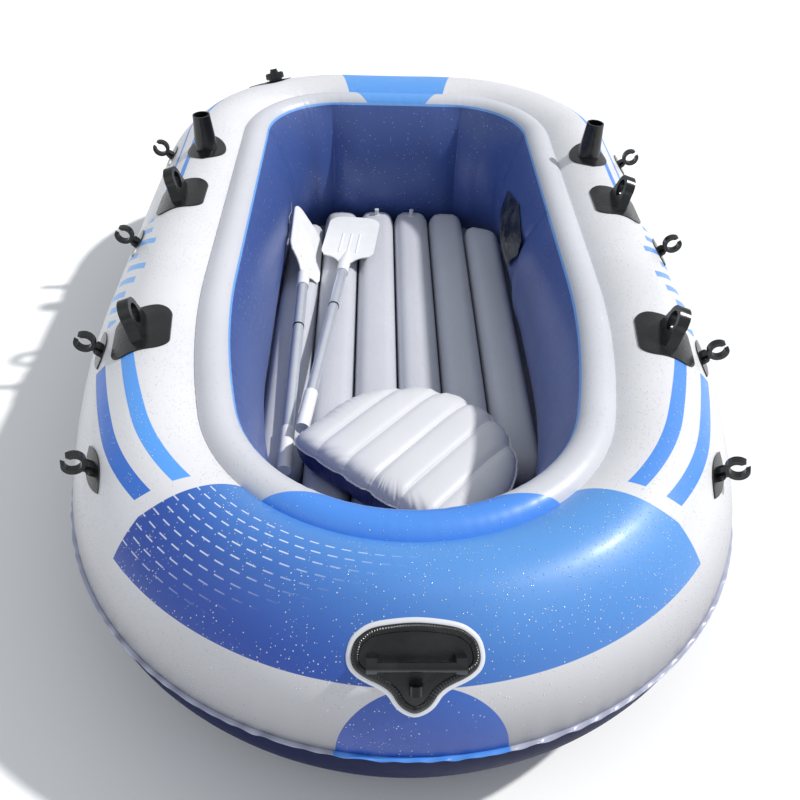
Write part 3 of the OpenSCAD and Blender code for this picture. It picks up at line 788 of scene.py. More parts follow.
class Graphics:
    """Printed colours of the hull, as masks over its two lengths and its place."""

    @staticmethod
    def top(paint: Paint, base: Sock) -> Sock:
        """Painted shade low on the skin; bow panel with its dashes, half disc, side stripes, strokes and
        stern panel, the panel and the disc with painted light in their blue.

        Args:
            paint: The material.
            base: The plain colour under the print.

        Returns:
            The printed colour.
        """
        x, y = paint.place()[:2]
        s, v = paint.skin()[:2]
        side = abs(s)
        # painted shade over a slightly greyer band: the top skin darkens toward its lower seam, fully at the
        # seam and fading out 0.17 m up the skin
        base = paint.mix((1 - v / 0.17).most(0.0).least(1.0), base, Tone.SHADED.value)
        # bow panel: |s| under its end line, v over its lower line
        end = 0.3735 - 0.048 * (v - 0.22).most(0.0) / 0.18 - 0.004 * x.over(0.0)
        inside = side.under(end) * v.over(0.1345)
        # painted light in the panel's blue: lighter toward the top and the sunlit port side, deeper low and
        # to starboard
        fade = paint.node("ShaderNodeMapRange", {"interpolation_type": "SMOOTHSTEP"},
                          {0: 0.80 * v + 0.34 * x + 0.10 * (paint.noise(3.0) - 0.5), 1: 0.02, 2: 0.34})[0]
        panel = paint.mix(fade, Tone.DEEP.value, Tone.SKY.value)
        colour = paint.mix(inside, base, panel)
        # rows of short dashes on the starboard part, fading to port
        row = (v - 0.160) / 0.0190 + 0.5 * s
        line = abs(row.frac() - 0.5).under(0.060, 0.03)
        dash = (s / 0.0235 + 0.37 * row.floor()).frac().under(0.58, 0.05)
        reach = -0.05 - 1.45 * (0.345 - v).most(0.0)
        rows = v.over(0.160) * v.under(0.347) * s.under(reach, 0.09)
        colour = paint.mix(line * dash * rows * inside * 0.72, colour, Tone.GLINT_AND_DASH_WHITE.value)
        # half disc on the seam, its blue shaded by the same painted light
        reach = (x - 0.015) * (x - 0.015) * 1.05 + v * v * 0.98
        disc = reach.root().under(0.137) * y.under(-0.9)
        colour = paint.mix(disc, colour, paint.mix(fade, Tone.DEEP.value, Tone.STRIPE.value))
        # two side stripes from the forward rowlock to the bow panel
        outside = side.over(end + 0.026) * y.under(-0.452)
        inner = abs(v - (0.197 - 0.144 * y)).under(0.0155)
        outer = abs(v - (0.1165 - 0.156 * y)).under(0.0165)
        bright = paint.mix(x.over(0.0), (0.09, 0.33, 0.84), Tone.STRIPE.value)
        colour = paint.mix(inner * outside, colour, bright)
        dark = paint.mix(x.over(0.0), (0.03, 0.16, 0.62), Tone.STRIPE.value)
        colour = paint.mix(outer * outside, colour, dark)
        # slanted strokes amidships
        lean = (y + 0.75 * v) / 0.056
        stroke = lean.frac().under(0.44, 0.03)
        tall = 0.235 + 0.03 * (lean.floor() * 2.4).sin()
        foot = 0.158 + 0.02 * (lean.floor() * 1.7).sin()
        band = y.over(-0.31) * y.under(0.14) * v.over(foot) * v.under(tall)
        ink = paint.mix(x.over(0.0), (0.16, 0.42, 0.86), (0.10, 0.30, 0.76))
        colour = paint.mix(stroke * band, colour, ink)
        # thin stripe from the after rowlock round the stern corner
        thin = abs(v - 0.262 - 0.006 * (3 * y).sin()).under(0.0075) * y.over(0.27) * side.under(2.24)
        thin2 = abs(v - 0.225).under(0.0045) * y.over(0.27) * side.under(2.24)
        colour = paint.mix(thin.most(thin2), colour, Tone.STRIPE.value)
        # stern panel, narrower toward the crease
        width = 0.182 - 0.26 * (v - 0.26).most(0.0)
        stern = abs(x).under(width) * y.over(0.9) * v.over(0.18)
        return paint.mix(stern, colour, (0.11, 0.34, 0.80))

    @staticmethod
    def ring(paint: Paint, base: Sock) -> Sock:
        """Bow and stern panels carried over the ring, and the thin line along its weld.

        Args:
            paint: The material.
            base: The plain colour under the print.

        Returns:
            The printed colour.
        """
        x, y = paint.place()[:2]
        v = paint.skin()[1]
        bow = y.under(-0.838 + 0.10 * (v - 0.04), 0.0008)
        colour = paint.mix(bow, base, paint.mix(v / 0.084, (0.07, 0.27, 0.78), (0.055, 0.23, 0.72)))
        stern = abs(x).under(0.150 - 0.75 * v) * y.over(0.7)
        colour = paint.mix(stern, colour, (0.11, 0.34, 0.80))
        return paint.mix(v.over(0.0805), colour, (0.16, 0.38, 0.82))

    @staticmethod
    def seam(paint: Paint, base: Sock) -> Sock:
        """Rim tinted blue along the half disc."""
        x, y = paint.place()[:2]
        return paint.mix(abs(x - 0.015).under(0.137, 0.002) * y.under(-0.9), base, Tone.STRIPE.value)

    @staticmethod
    def wall(paint: Paint, base: Sock) -> Sock:
        """Pale weld line at the top of the inner wall."""
        v = paint.skin()[1]
        return paint.mix(v.under(0.0035), base, (0.16, 0.38, 0.82))


@dataclass
class Hull:
    """The fabric hull: outer skins, ring, inner wall and the welded seam."""

    top_count: int = 1180
    pieces: dict[str, bpy.types.Object] = field(default_factory=dict)

    def build(self) -> None:
        """Builds every skin of the hull."""
        fine = (97, 118, 149, 171, 197, 223)
        skins = [
            Skin("hull_top", "hull_top_skin", SECTION.outer, (0.0, SECTION.top_len), self.top_count, 68,
                 0.0021, 0.0006, fine, 11),
            Skin("hull_bottom", "hull_bottom_skin", SECTION.outer, (-SECTION.tube_r * math.pi / 2, 0.0),
                 self.top_count, 56, 0.0004, 0.0024, fine, 21),
            Skin("ring_top", "ring_top_skin", SECTION.ring, (0.0, SECTION.ring_len), 1000, 18,
                 0.0005, 0.0007, fine, 31),
            WallSkin("inner_wall", "inner_wall_skin", SECTION.wall,
                     (0.0, SECTION.wall_r * (math.radians(215.05) - SECTION.ring_to)), 1000, 64,
                     0.0010, 0.0016, fine, 41),
        ]
        for skin in skins:
            self.pieces[skin.name] = skin.build()
            LOG.info("skin %s", skin.name)
        self.pieces["hull_seam"] = self.seam()

    def seam(self) -> bpy.types.Object:
        """Builds the welded rim.

        A flat strip 10 mm wide and 1 mm thick runs round the seam. Its edge waves up and down by
        amp * ripple(s), and out and in by a third of that, growing with the square of the distance
        from the tube.

        Returns:
            The rim's object.
        """
        s = PLAN.stations(1500)
        t = np.array([0.0, 0.3, 0.6, 0.85, 1.0, 1.0, 0.85, 0.6, 0.3, 0.0])
        thick = np.array([1, 1, 1, 1, 0.7, -0.7, -1, -1, -1, -1]) * 0.0005
        wave = ripple(s, PLAN.length, (97, 118, 149, 171, 197, 223), 11)[:, None]
        calm = (0.55 + 0.45 * ripple(s, PLAN.length, (3, 5, 8), 2))[:, None]
        off = SECTION.tube_r - 0.0006 + t * (0.0085 + 0.0010 * wave)
        z = SECTION.tube_r + thick + (0.0092 * calm * wave - 0.0012) * t ** 2 + 0 * off
        ss, vv = np.meshgrid(s, t * 0.01, indexing="ij")
        points = PLAN.sweep(s, off, z)[:, ::-1]
        made = surface("hull_seam", points, np.stack([ss, vv], -1), round_u=True, round_v=True)
        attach(made, "hull")
        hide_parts("seam_flange")
        return made

    def dress(self) -> None:
        """Gives the skins their finishes."""
        navy = Coated("navy bottom fabric", Tone.NAVY.value, rough=0.5, coat=0.0, shine=0.06)
        blue = Coated("blue wall fabric", Tone.WALL.value, rough=0.40, wet=0.35)
        finishes = {
            "hull_top": Coated("printed top fabric", Tone.WHITE.value, wet=0.85).make(Graphics.top),
            "hull_bottom": navy.make(),
            "ring_top": Coated("printed ring fabric", Tone.PALE.value, wet=0.3).make(Graphics.ring),
            "inner_wall": blue.make(Graphics.wall),
            "hull_seam": Coated("welded rim", (0.40, 0.42, 0.55), rough=0.3).make(Graphics.seam),
        }
        for name, material in finishes.items():
            self.pieces[name].data.materials.append(material)


@dataclass
class Floor:
    """Air floor: six channels with puckered ends on a flat welded border."""

    count: int = 6
    pitch: float = 0.112667
    radius: float = 0.058333
    base: float = 0.0008
    floor_side: float = 0.110
    pieces: dict[str, bpy.types.Object] = field(default_factory=dict)

    def end_line(self, x: float, stern: bool) -> float:
        """Y at which a channel's half-round end has its centre.

        Args:
            x: The channel's middle.
            stern: True for the stern end.

        Returns:
            The Y that leaves the end clear of the inner wall.
        """
        a = abs(x) + 0.7 * self.radius
        if stern:
            off = PLAN.corner_r - self.floor_side
            corner_x = PLAN.half_w - PLAN.corner_r
            far = off if a <= corner_x else math.sqrt(off ** 2 - (a - corner_x) ** 2)
            return PLAN.side_aft + far - 0.7 * self.radius - 0.005
        off = PLAN.nose_r - self.floor_side
        if a <= off * math.cos(PLAN.turn):
            return PLAN.nose_y - math.sqrt(off ** 2 - a ** 2) + 0.7 * self.radius
        far = PLAN.bow_side_r - self.floor_side
        across = a + PLAN.bow_side_r - PLAN.half_w
        return PLAN.side_fore - math.sqrt(far ** 2 - across ** 2) + 0.7 * self.radius

    def channels(self) -> bpy.types.Object:
        """Builds the six channels as one piece.

        Each is a closed tube along Y. At length t its section is an oval of half width w(t) and
        half height h(t): both are full along the run and round off at the ends as superellipses.
        Puckers of up to 3 mm run along the tube at its ends, cos(n a) * exp(-distance / 0.045). The
        outer channels' stern ends slant with the corners of the hull.

        Returns:
            The channels' object.
        """
        rng = np.random.default_rng(5)
        around = np.linspace(0, 2 * np.pi, 44, endpoint=False)
        parts, lengths = [], []
        for i in range(self.count):
            x0 = (i - (self.count - 1) / 2) * self.pitch
            y0, y1 = self.end_line(x0, False) - self.radius, self.end_line(x0, True) + self.radius
            u = np.linspace(0, 1, 210)
            t = 0.5 - 0.5 * np.cos(np.pi * u)
            t = 0.35 * t + 0.65 * u
            y = y0 + (y1 - y0) * t
            near = np.minimum(y - y0, y1 - y)
            e = np.clip(1 - near / (self.radius * 1.05), 0, 1)
            h = np.sqrt(np.clip(1 - e ** 2.0, 0.0, 1)) * self.radius
            w = (1 - e ** 2.6) ** (1 / 2.2) * (self.pitch / 2 - 0.0006)
            a, yy = np.meshgrid(around, y, indexing="xy")
            phase = rng.uniform(0, 6.28, 3)
            pucker = sum(np.cos(n * a + p) for n, p in zip((11, 15, 19), phase)) / 3
            depth = 0.0030 * np.exp(-near / 0.040) * smooth(near, 0, 0.012)
            ca, sa = np.cos(a), np.sin(a)
            belly = np.sign(ca) * np.abs(ca) ** 0.52
            grow = 1 + (depth[:, None] * pucker) / self.radius
            x = x0 + w[:, None] * belly * grow
            z = self.base + self.radius + h[:, None] * sa * np.where(sa > 0, grow, 1.0)
            if i in (0, self.count - 1):
                slant = 0.42 * (x0 - x) * math.copysign(1.0, x0)
                yy = yy + slant * smooth(yy, y1 - 0.16, y1 - 0.01)
            parts.append(np.stack([x, yy, z], -1))
            lengths.append(np.stack([yy, self.radius * a], -1))
        made = [surface(f"channel_{i}", p[:, ::-1], q[:, ::-1], round_v=True)
                for i, (p, q) in enumerate(zip(parts, lengths))]
        return merge("floor_channels", made)

    def border(self) -> bpy.types.Object:
        """Builds the flat welded border of the floor.

        A sheet follows the inner wall at 10 mm above the bottom, from under the wall to under the
        channels, and waves by 2.5 mm.

        Returns:
            The border's object.
        """
        s = PLAN.stations(700)
        t = np.linspace(0, 1, 22)
        off = -0.070 - 0.190 * t
        ss, tt = np.meshgrid(s, t, indexing="ij")
        wave = ripple(ss, PLAN.length, (31, 43, 57, 71), 3)
        z = 0.014 + 0.020 * smooth(tt, 0.45, 0.1) + 0.0030 * wave * smooth(tt, 0.0, 0.25)
        points = PLAN.sweep(s, np.broadcast_to(off, ss.shape), z)
        made = surface("floor_border", points, np.stack([ss, 0.19 * tt], -1), round_u=True)
        return made

    def build(self) -> None:
        """Builds the floor's pieces."""
        self.pieces["floor_channels"] = self.channels()
        self.pieces["floor_border"] = self.border()
        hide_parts("floor_mat")
        for piece in self.pieces.values():
            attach(piece, "hull")

    def dress(self) -> None:
        """Gives the floor its grey fabric, with painted shade low between the channels."""
        def weld(paint: Paint, base: Sock) -> Sock:
            """Paints shade on the fabric below about 82 mm, low between the channels.

            Args:
                paint: The material.
                base: The plain colour.

            Returns:
                The shaded colour.
            """
            z = paint.place()[2]
            # painted shade: every part of the floor below about 82 mm is darkened, the lower flanks of the
            # channels and the border
            low = z.under(0.082, 0.016)
            return paint.mix(low * 0.6, base, (0.20, 0.23, 0.33))

        finish = Coated("grey floor fabric", Tone.PALE.value, rough=0.46, wet=0.45).make(weld)
        for piece in self.pieces.values():
            piece.data.materials.append(finish)


def merge(name: str, parts: list[bpy.types.Object]) -> bpy.types.Object:
    """Joins several objects into one of the given name.

    Args:
        name: The joined piece's name.
        parts: The objects, all at the origin.

    Returns:
        The joined object.
    """
    with bpy.context.temp_override(active_object=parts[0], selected_editable_objects=parts,
                                   selected_objects=parts):
        bpy.ops.object.join()
    parts[0].name = name
    parts[0].data.name = name
    return parts[0]


@dataclass
class Cushion:
    """Half-round seat cushion with six channels, puckered along its rim."""

    radius: float = 0.230
    straight: float = 0.145
    corner: float = 0.070
    height: float = 0.112
    base: float = 0.11787
    front: tuple[float, float] = (-0.074, -0.563)
    turn: float = math.radians(-40)
    count: int = 6
    seam_share: float = 0.66
    piece: bpy.types.Object | None = None
    under: bpy.types.Object | None = None
    weld: bpy.types.Object | None = None

    def outline(self, a: Array) -> Array:
        """Plan outline at direction a about the cushion's middle, found as a ray's reach.

        The reach of a ray is the smallest of the distances to the half circle's side and the flat
        edge, blended by a high-power mean so that the corners are round.

        Args:
            a: Directions in radians.

        Returns:
            Distances from the middle.
        """
        mid = self.straight * 0.72
        c, s = np.cos(a), np.sin(a)
        k = self.straight - mid
        circle = s * k + np.sqrt(np.maximum(self.radius ** 2 - (k * c) ** 2, 0))
        side = self.radius / np.maximum(np.abs(c), 1e-6)
        flat = mid / np.maximum(-s, 1e-6)
        upper = np.where(s > -0.05, circle, np.minimum(side, circle * 1.4))
        p = 9.0
        lower = (side ** -p + flat ** -p) ** (-1 / p)
        blend = smooth(s, -0.35, 0.15)
        return np.where(s > 0.15, circle, blend * upper + (1 - blend) * lower)

    def rim(self, a: Array) -> Array:
        """Reach of the welded rim: the outline, drawn in at each seam's end and finely puckered.

        Args:
            a: Directions in radians.

        Returns:
            Distances from the middle.
        """
        reach = self.outline(a)
        lane = (reach * np.cos(a) / self.radius + 1) * self.count / 2
        inner = (lane > 0.4) & (lane < self.count - 0.4)
        drawn = 0.0055 * np.abs(np.cos(np.pi * lane)) ** 6 * inner
        return reach - drawn - 0.0012 * (1 + ripple(a, 2 * np.pi, (41, 53, 67, 83), 9))

    def placed(self, x: Array, y: Array, z: Array) -> Array:
        """Turns the cushion's own lengths into the boat's frame."""
        c, s = math.cos(self.turn), math.sin(self.turn)
        return np.stack([self.front[0] + c * x - s * y, self.front[1] + s * x + c * y, z], -1)

    def rim_weld(self) -> None:
        """Builds the thin weld round the rim: a flat strip 5 mm wide and 1.2 mm thick, slightly waved."""
        a = np.linspace(0, 2 * np.pi, 720, endpoint=False)
        out = np.array([-0.0015, 0.002, 0.0045, 0.0045, 0.002, -0.0015])
        up = np.array([1, 1, 0.6, -0.6, -1, -1]) * 0.0006
        wave = 0.0012 * ripple(a, 2 * np.pi, (41, 53, 67, 83), 12)[:, None] * np.clip(out / 0.0045, 0, 1)
        reach = self.rim(a)[:, None] + out
        x, y = reach * np.cos(a)[:, None], reach * np.sin(a)[:, None] + self.straight * 0.72
        z = self.base + self.height * self.seam_share + up + wave
        lengths = np.stack([x, y], -1)
        self.weld = surface("cushion_weld", self.placed(x, y, z), lengths, round_u=True, round_v=True)
        outward(self.weld)
        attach(self.weld, "cushion")

    def build(self) -> None:
        """Builds the top, the bottom and the welded rim of the cushion.

        The plan is a polar grid: a point at share r of the ray's reach in direction a. The rim is
        welded at two thirds of the height. Over it the top rises by H * (1 - r ** 7) ** 0.55, and
        under it the bottom falls steeply, by H * (1 - r ** 12) ** 0.5. Across the channels the top
        bellies as |sin| ** 0.8 with a narrow dip at each seam, and a tuck where a seam meets the rim.
        """
        a = np.linspace(0, 2 * np.pi, 480, endpoint=False)
        r = np.sin(np.linspace(0, np.pi / 2, 76)) ** 0.9
        aa, rr = np.meshgrid(a, r, indexing="ij")
        reach = self.rim(a)[:, None]
        x = rr * reach * np.cos(aa)
        y = rr * reach * np.sin(aa) + self.straight * 0.72
        lane = (x / self.radius + 1) * self.count / 2
        inner = (lane > 0.4) & (lane < self.count - 0.4)
        seam = np.abs(np.cos(np.pi * lane)) ** 14 * inner
        crown = np.abs(np.sin(np.pi * lane)) ** 0.8
        edge = (1 - rr) * reach
        held = smooth(edge, 0.004, 0.045)
        upper = self.height * (1 - self.seam_share)
        lower = self.height * self.seam_share
        tuck = np.exp(-edge / 0.022) * np.abs(np.cos(np.pi * lane)) ** 8 * inner
        lines = ripple(aa, 2 * np.pi, (61, 74, 89, 103), 17) * np.exp(-edge / 0.016) * smooth(edge, 0, 0.006)
        top = upper * (1 - rr ** 7) ** 0.55 * (0.89 + 0.11 * crown) - 0.0030 * seam * held
        top = top - 0.006 * tuck * smooth(edge, 0, 0.008) + 0.0011 * lines
        low = -lower * (1 - rr ** 12) ** 0.5 * (0.94 + 0.06 * crown * held) + 0.0012 * lines
        low = np.maximum(low, -lower + 0.0006)
        self.rim_weld()
        for name, z, faces in (("cushion_top", top, 1), ("cushion_bottom", low, -1)):
            z = np.where(rr > 0.999, 0.0, z) + lower + self.base
            place = self.placed(x, y, z)
            lengths = np.stack([x, y], -1)
            if faces < 0:
                place, lengths = place[:, ::-1], lengths[:, ::-1]
            made = surface(name, place[:, ::-1], lengths[:, ::-1], round_u=True)
            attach(made, "cushion")
            if name == "cushion_top":
                self.piece = made
                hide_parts("cushion_top_skin", "cushion_webs")
            else:
                self.under = made
                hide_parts("cushion_bottom_skin")

    def dress(self) -> None:
        """Gives the top its pale fabric, shaded in the seams, and the bottom its navy fabric."""
        def seams(paint: Paint, base: Sock) -> Sock:
            """Lays a soft shade and a thin weld line on each seam.

            Args:
                paint: The material.
                base: The plain colour.

            Returns:
                The shaded colour.
            """
            x = paint.skin()[0]
            lane = (x / self.radius + 1) * (self.count / 2)
            near = abs(abs(lane.frac() - 0.5) - 0.5)
            shade = paint.mix(near.under(0.070, 0.05) * 0.12, base, (0.50, 0.52, 0.60))
            return paint.mix(near.under(0.016, 0.010) * 0.8, shade, (0.86, 0.86, 0.88))

        pale = Coated("cushion top fabric", (0.72, 0.72, 0.75), rough=0.44)
        self.piece.data.materials.append(pale.make(seams))
        self.weld.data.materials.append(Coated("cushion weld", (0.80, 0.80, 0.84), rough=0.3).make())
        navy = Coated("cushion navy fabric", (0.008, 0.020, 0.15), rough=0.36, coat=0.05, shine=0.35)
        self.under.data.materials.append(navy.make())


@dataclass
class PatchTrim:
    """White weld line and ribbed rim round the black patch on the bow."""

    at: float = math.radians(40)
    thick: float = 0.003
    ribs: int = 118
    rows: tuple[tuple[float, float], ...] = (
        (-0.057, 0.0), (-0.054, 0.038), (-0.048, 0.066), (-0.037, 0.083), (-0.026, 0.091), (-0.008, 0.095),
        (0.006, 0.092), (0.016, 0.083), (0.024, 0.070), (0.031, 0.055), (0.039, 0.042), (0.048, 0.033),
        (0.058, 0.027), (0.067, 0.020), (0.074, 0.010), (0.077, 0.0))
    made: list[bpy.types.Object] = field(default_factory=list)

    def outline(self, count: int) -> Array:
        """Closed smooth outline through the rows and their mirror images.

        Between two rows the curve is a Catmull-Rom cubic, and the whole is then cut evenly by length.

        Args:
            count: How many points.

        Returns:
            Points as (count, 2), X down the tube and Y across the boat.
        """
        side = np.array(self.rows)
        ring = np.concatenate([side, side[-2:0:-1] * [1, -1]])
        a, b, c, d = (np.roll(ring, k, 0)[:, None] for k in (1, 0, -1, -2))
        t = np.linspace(0, 1, 12, endpoint=False)[None, :, None]
        curve = 0.5 * (2 * b + t * (c - a) + t ** 2 * (2 * a - 5 * b + 4 * c - d)
                       + t ** 3 * (3 * b - a - 3 * c + d)).reshape(-1, 2)
        closed = np.concatenate([curve, curve[:1]])
        run = np.concatenate([[0], np.cumsum(np.linalg.norm(np.diff(closed, axis=0), axis=1))])
        even = np.linspace(0, run[-1], count, endpoint=False)
        return np.stack([np.interp(even, run, closed[:, k]) for k in (0, 1)], -1)

    def on_tube(self, flat: Array, lift: Array) -> Array:
        """Drops points of the patch's plane on the nose of the tube.

        The plane touches the tube at angle at. Each point slides along the plane's normal until its
        distance from the tube's round centre line is the tube's radius plus lift, by Newton steps.

        Args:
            flat: Points of the plane as (..., 2).
            lift: Height over the tube, of the same shape without its last axis.

        Returns:
            Points as (..., 3).
        """
        c, s = math.cos(self.at), math.sin(self.at)
        r = SECTION.tube_r
        normal, down = np.array([0, -c, s]), np.array([0, -s, -c])
        start = np.array([0, PLAN.nose_y - PLAN.nose_r - r * c, r + r * s])
        point = start + flat[..., :1] * down + flat[..., 1:] * np.array([1.0, 0, 0])
        for _ in range(9):
            ring = np.hypot(point[..., 0], point[..., 1] - PLAN.nose_y)
            out, up = ring - PLAN.nose_r, point[..., 2] - r
            far = np.hypot(out, up)
            slope = np.stack([out / far * point[..., 0] / ring,
                              out / far * (point[..., 1] - PLAN.nose_y) / ring, up / far], -1)
            step = (r + lift - far) / (slope @ normal)
            point = point + step[..., None] * normal
        return point

    def band(self, name: str, profile: Sequence[tuple[float, float, float]], count: int) -> bpy.types.Object:
        """Carries a closed profile round the outline.

        Args:
            name: The piece's name.
            profile: Each point's distance out of the outline, its height and how far ribs lift it.
            count: Points round the outline.

        Returns:
            The band's object.
        """
        line = self.outline(count)
        along = np.roll(line, -1, 0) - np.roll(line, 1, 0)
        along = along / np.linalg.norm(along, axis=1, keepdims=True)
        out = np.stack([along[:, 1], -along[:, 0]], -1)
        out = out * np.sign((out * (line - line.mean(0))).sum())
        out_by, up, rib = np.array(profile).T
        wave = np.sin(2 * np.pi * self.ribs * np.arange(count) / count)[:, None]
        flat = line[:, None] + out_by[:, None] * out[:, None]
        points = self.on_tube(flat, up + rib * wave)
        made = surface(name, points, flat, round_u=True, round_v=True)
        outward(made)
        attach(made, "hull")
        self.made.append(made)
        return made

    def build(self) -> None:
        """Builds the weld line and the rim."""
        weld = ((-0.003, 0.0016, 0), (0.003, 0.0016, 0), (0.0075, 0.0012, 0), (0.0083, -0.0006, 0),
                (0.003, -0.0014, 0), (-0.003, -0.0014, 0))
        self.band("patch_weld", weld, 360)
        p = self.thick
        rim = ((0.0008, 0.0002, 0), (0.0008, p - 0.0006, 0.0002), (-0.0015, p + 0.0014, 0.0006),
               (-0.0055, p + 0.0020, 0.0007), (-0.0095, p + 0.0014, 0.0006), (-0.0115, p - 0.0002, 0),
               (-0.0090, p - 0.0018, 0), (-0.0030, 0.0006, 0))
        self.band("patch_rim", rim, self.ribs * 8)

    def dress(self) -> None:
        """Gives the weld white fabric and the rim black rubber."""
        self.made[0].data.materials.append(Coated("patch weld", (0.72, 0.73, 0.78), rough=0.4).make())
        black = Moulded("black ribbed rim", Tone.BLACK.value, rough=0.22, wear=0.015)
        self.made[1].data.materials.append(black.make())


@dataclass
class WallSheets:
    """The clear film and the black pouch on the inner wall."""

    made: list[bpy.types.Object] = field(default_factory=list)

    def sheet(self, name: str, side: float, outline: Array, lift: Callable[[Array, Array], Array],
              node: str) -> bpy.types.Object:
        """Builds a sheet that lies on the inner wall.

        The outline is a ring of (y, z) points; the sheet is a fan of shrinking copies of it toward
        its middle, and stands lift(y, z) off the wall.

        Args:
            name: The piece's name.
            side: 1 for port, -1 for starboard.
            outline: Points as (n, 2).
            lift: Distance off the wall for arrays of y and z.
            node: The CAD node it stands for.

        Returns:
            The sheet's object.
        """
        mid = outline.mean(0)
        share = np.linspace(1.0, 0.0, 26)
        ring = mid + share[None, :, None] * (outline[:, None, :] - mid)
        y, z = ring[..., 0], ring[..., 1]
        off = SECTION.wall_off(z) - lift(y, z)
        x = side * (PLAN.half_w + off)
        points = np.stack([x, y, z], -1)
        if side > 0:
            points = points[:, ::-1]
        made = surface(name, points, np.stack([y, z], -1), round_u=True)
        solid = made.modifiers.new("thickness", "SOLIDIFY")
        solid.thickness = 0.0008
        solid.offset = 0.0
        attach(made, "hull")
        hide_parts(node)
        self.made.append(made)
        return made

    @staticmethod
    def ring_of(corners: Sequence[tuple[float, float]], each: int = 40) -> Array:
        """Cuts each straight side of a closed outline evenly.

        Args:
            corners: The outline's corners.
            each: Points on each side.

        Returns:
            Points as (n, 2).
        """
        pts = np.array(corners, float)
        nxt = np.roll(pts, -1, 0)
        t = np.linspace(0, 1, each, endpoint=False)[None, :, None]
        return (pts[:, None] + t * (nxt - pts)[:, None]).reshape(-1, 2)

    def build(self) -> None:
        """Builds the film and the pouch."""
        film = self.ring_of([(0.502, 0.137), (0.632, 0.141), (0.629, 0.231), (0.505, 0.229)])

        def curl(y: Array, z: Array) -> Array:
            """Waves of the film that grow toward its loose upper edge."""
            return 0.0012 + 0.0040 * (0.5 + 0.5 * np.sin(70 * y + 20 * z)) * smooth(z, 0.15, 0.23)

        self.sheet("clear_film", -1.0, film, curl, "repair_film")
        pouch = self.ring_of([(0.545, 0.218), (0.540, 0.330), (0.380, 0.368), (0.232, 0.340),
                              (0.222, 0.300), (0.335, 0.192)])

        def bulge(y: Array, z: Array) -> Array:
            """Sagging bulge of the pouch: a low dome with slanting folds.

            Args:
                y: Length along the boat.
                z: Height.

            Returns:
                Distance off the wall.
            """
            dome = np.exp(-(((y - 0.39) / 0.12) ** 2 + ((z - 0.26) / 0.06) ** 2))
            fold = 0.5 + 0.5 * np.sin(46 * y - 60 * z + 5 * np.sin(14 * y))
            return 0.0016 + 0.016 * dome + 0.0042 * fold * (0.35 + 0.65 * dome)

        self.sheet("wall_pouch_film", 1.0, pouch, bulge, "wall_pouch")

    def dress(self) -> None:
        """Gives both sheets their films."""
        self.made[0].data.materials.append(Clear("clear film", (0.86, 0.89, 0.95), 0.58).make())
        black = Moulded("black pouch film", (0.007, 0.008, 0.009), rough=0.2, grain=0.0005, scale=70.0,
                        wear=0.06)
        self.made[1].data.materials.append(black.make())


@dataclass
class Fittings:
    """The moulded fittings, valves, webs and oars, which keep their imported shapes."""

    def dress(self) -> None:
        """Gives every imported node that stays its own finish."""
        nodes = frame["nodes"]
        black = Moulded("black moulded rubber", Tone.BLACK.value, rough=0.26, wear=0.008).make()
        patch = Moulded("black welded patch", Tone.BLACK.value, rough=0.34, grain=0.00018, scale=420.0,
                        wear=0.01)
        rough_black = patch.make()
        clear = Clear("clear valve plastic", (0.86, 0.89, 0.93), 0.75).make()
        white = Moulded("white blade plastic", (0.86, 0.86, 0.87), rough=0.36, wear=0.3).make()
        web = Coated("inner web fabric", Tone.PALE.value).make()
        navy = Coated("navy bottom sheet", Tone.NAVY.value).make()
        joints = {j["name"]: j for j in frame["joints"]}
        lines = {side: tuple(joints[f"oar_{side}_part"]["axis"]) for side in ("star", "port")}
        tubes = {side: Drawn(f"{side} oar tube", (0.74, 0.77, 0.83), line).make()
                 for side, line in lines.items()}
        for name, node in nodes.items():
            if name == "chamber_web":
                finish = web
            elif name == "bottom_sheet":
                finish = navy
            elif name.startswith("oar_") and name.endswith(("_upper", "_lower")):
                finish = tubes[name.split("_")[1]]
            elif name.endswith(("_blade", "_grip")):
                finish = white
            elif name.startswith(("floor_valve", "floor_plug", "cushion_")):
                finish = clear
            elif name == "bow_patch":
                finish = rough_black
            else:
                finish = black
            node.data.materials.clear()
            node.data.materials.append(finish)


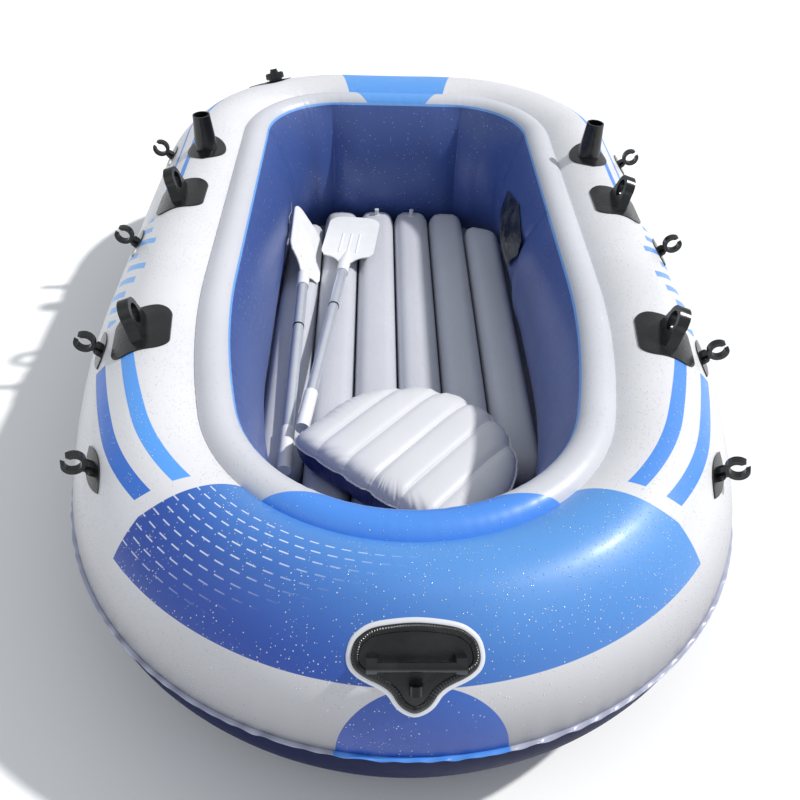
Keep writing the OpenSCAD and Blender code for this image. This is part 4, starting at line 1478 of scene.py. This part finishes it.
@dataclass
class Studio:
    """Floor, sky, lights and the camera."""

    camera_at: tuple[float, float, float] = (-0.07156, -1.90925, 1.56232)
    yaw: float = 0.0427431
    pitch: float = 0.6933422
    roll: float = 0.0385455
    focal: float = 41.142

    def camera(self) -> None:
        """Sets up the camera: looks along yaw and pitch, turned about its own line by roll."""
        level = math.cos(self.pitch)
        forward = Vector((math.sin(self.yaw) * level, math.cos(self.yaw) * level, -math.sin(self.pitch)))
        right = forward.cross(Vector((0, 0, 1))).normalized()
        up = right.cross(forward)
        c, s = math.cos(self.roll), math.sin(self.roll)
        across, above = c * right + s * up, c * up - s * right
        lens = bpy.data.cameras.new("camera")
        lens.lens = self.focal
        lens.sensor_width = 36.0
        lens.clip_end = 60.0
        shot = bpy.data.objects.new("camera", lens)
        bpy.context.scene.collection.objects.link(shot)
        turn = Matrix((across, above, -forward)).transposed().to_4x4()
        shot.matrix_world = Matrix.Translation(self.camera_at) @ turn
        bpy.context.scene.camera = shot

    def light(self, name: str, at: Vector, size: float, power: float) -> None:
        """Adds an area light that faces the boat.

        Args:
            name: The light's name.
            at: Where it stands.
            size: Its side in metres.
            power: Its power in watts.
        """
        lamp = bpy.data.lights.new(name, "AREA")
        lamp.size = size
        lamp.energy = power
        made = bpy.data.objects.new(name, lamp)
        bpy.context.scene.collection.objects.link(made)
        made.matrix_world = Matrix.Translation(at) @ at.to_track_quat("Z", "Y").to_matrix().to_4x4()

    def build(self) -> None:
        """Builds the floor, the lights and the sky."""
        s = np.linspace(-14, 14, 8)
        xx, yy = np.meshgrid(s, s, indexing="ij")
        ground = surface("studio_floor", np.stack([xx, yy, 0 * xx - 0.0005], -1))
        paint = Paint("pale studio floor")
        shade = paint.noise(0.8, 2.0)
        paint.set(Base_Color=paint.mix(shade, (0.955, 0.955, 0.96), (0.98, 0.98, 0.98)), Roughness=0.9)
        ground.data.materials.append(paint.material)
        world = bpy.data.worlds.new("studio")
        world.use_nodes = True
        back = world.node_tree.nodes["Background"]
        back.inputs[0].default_value = (0.90, 0.95, 1.0, 1.0)
        back.inputs[1].default_value = 0.56
        bpy.context.scene.world = world
        sun = bpy.data.lights.new("key", "SUN")
        sun.energy = 3.0
        sun.angle = math.radians(2.5)
        sun.color = (1.0, 0.985, 0.96)
        made = bpy.data.objects.new("key", sun)
        bpy.context.scene.collection.objects.link(made)
        toward = Vector((0.66, 0.10, 0.74)).normalized()
        made.matrix_world = toward.to_track_quat("Z", "Y").to_matrix().to_4x4()
        self.light("fill", Vector((-2.6, -2.2, 2.4)), 2.5, 9.0)
        bpy.context.scene.view_settings.view_transform = "Standard"


def main() -> None:
    """Builds the boat and its surroundings."""
    logging.basicConfig(level=logging.INFO, format="%(name)s: %(message)s")
    Studio().build()
    Studio().camera()
    for part in (Hull(), Floor(), Cushion(), PatchTrim(), WallSheets()):
        part.build()
        part.dress()
        LOG.info("%s built", type(part).__name__)
    Fittings().dress()


if __name__ == "__main__":
    main()
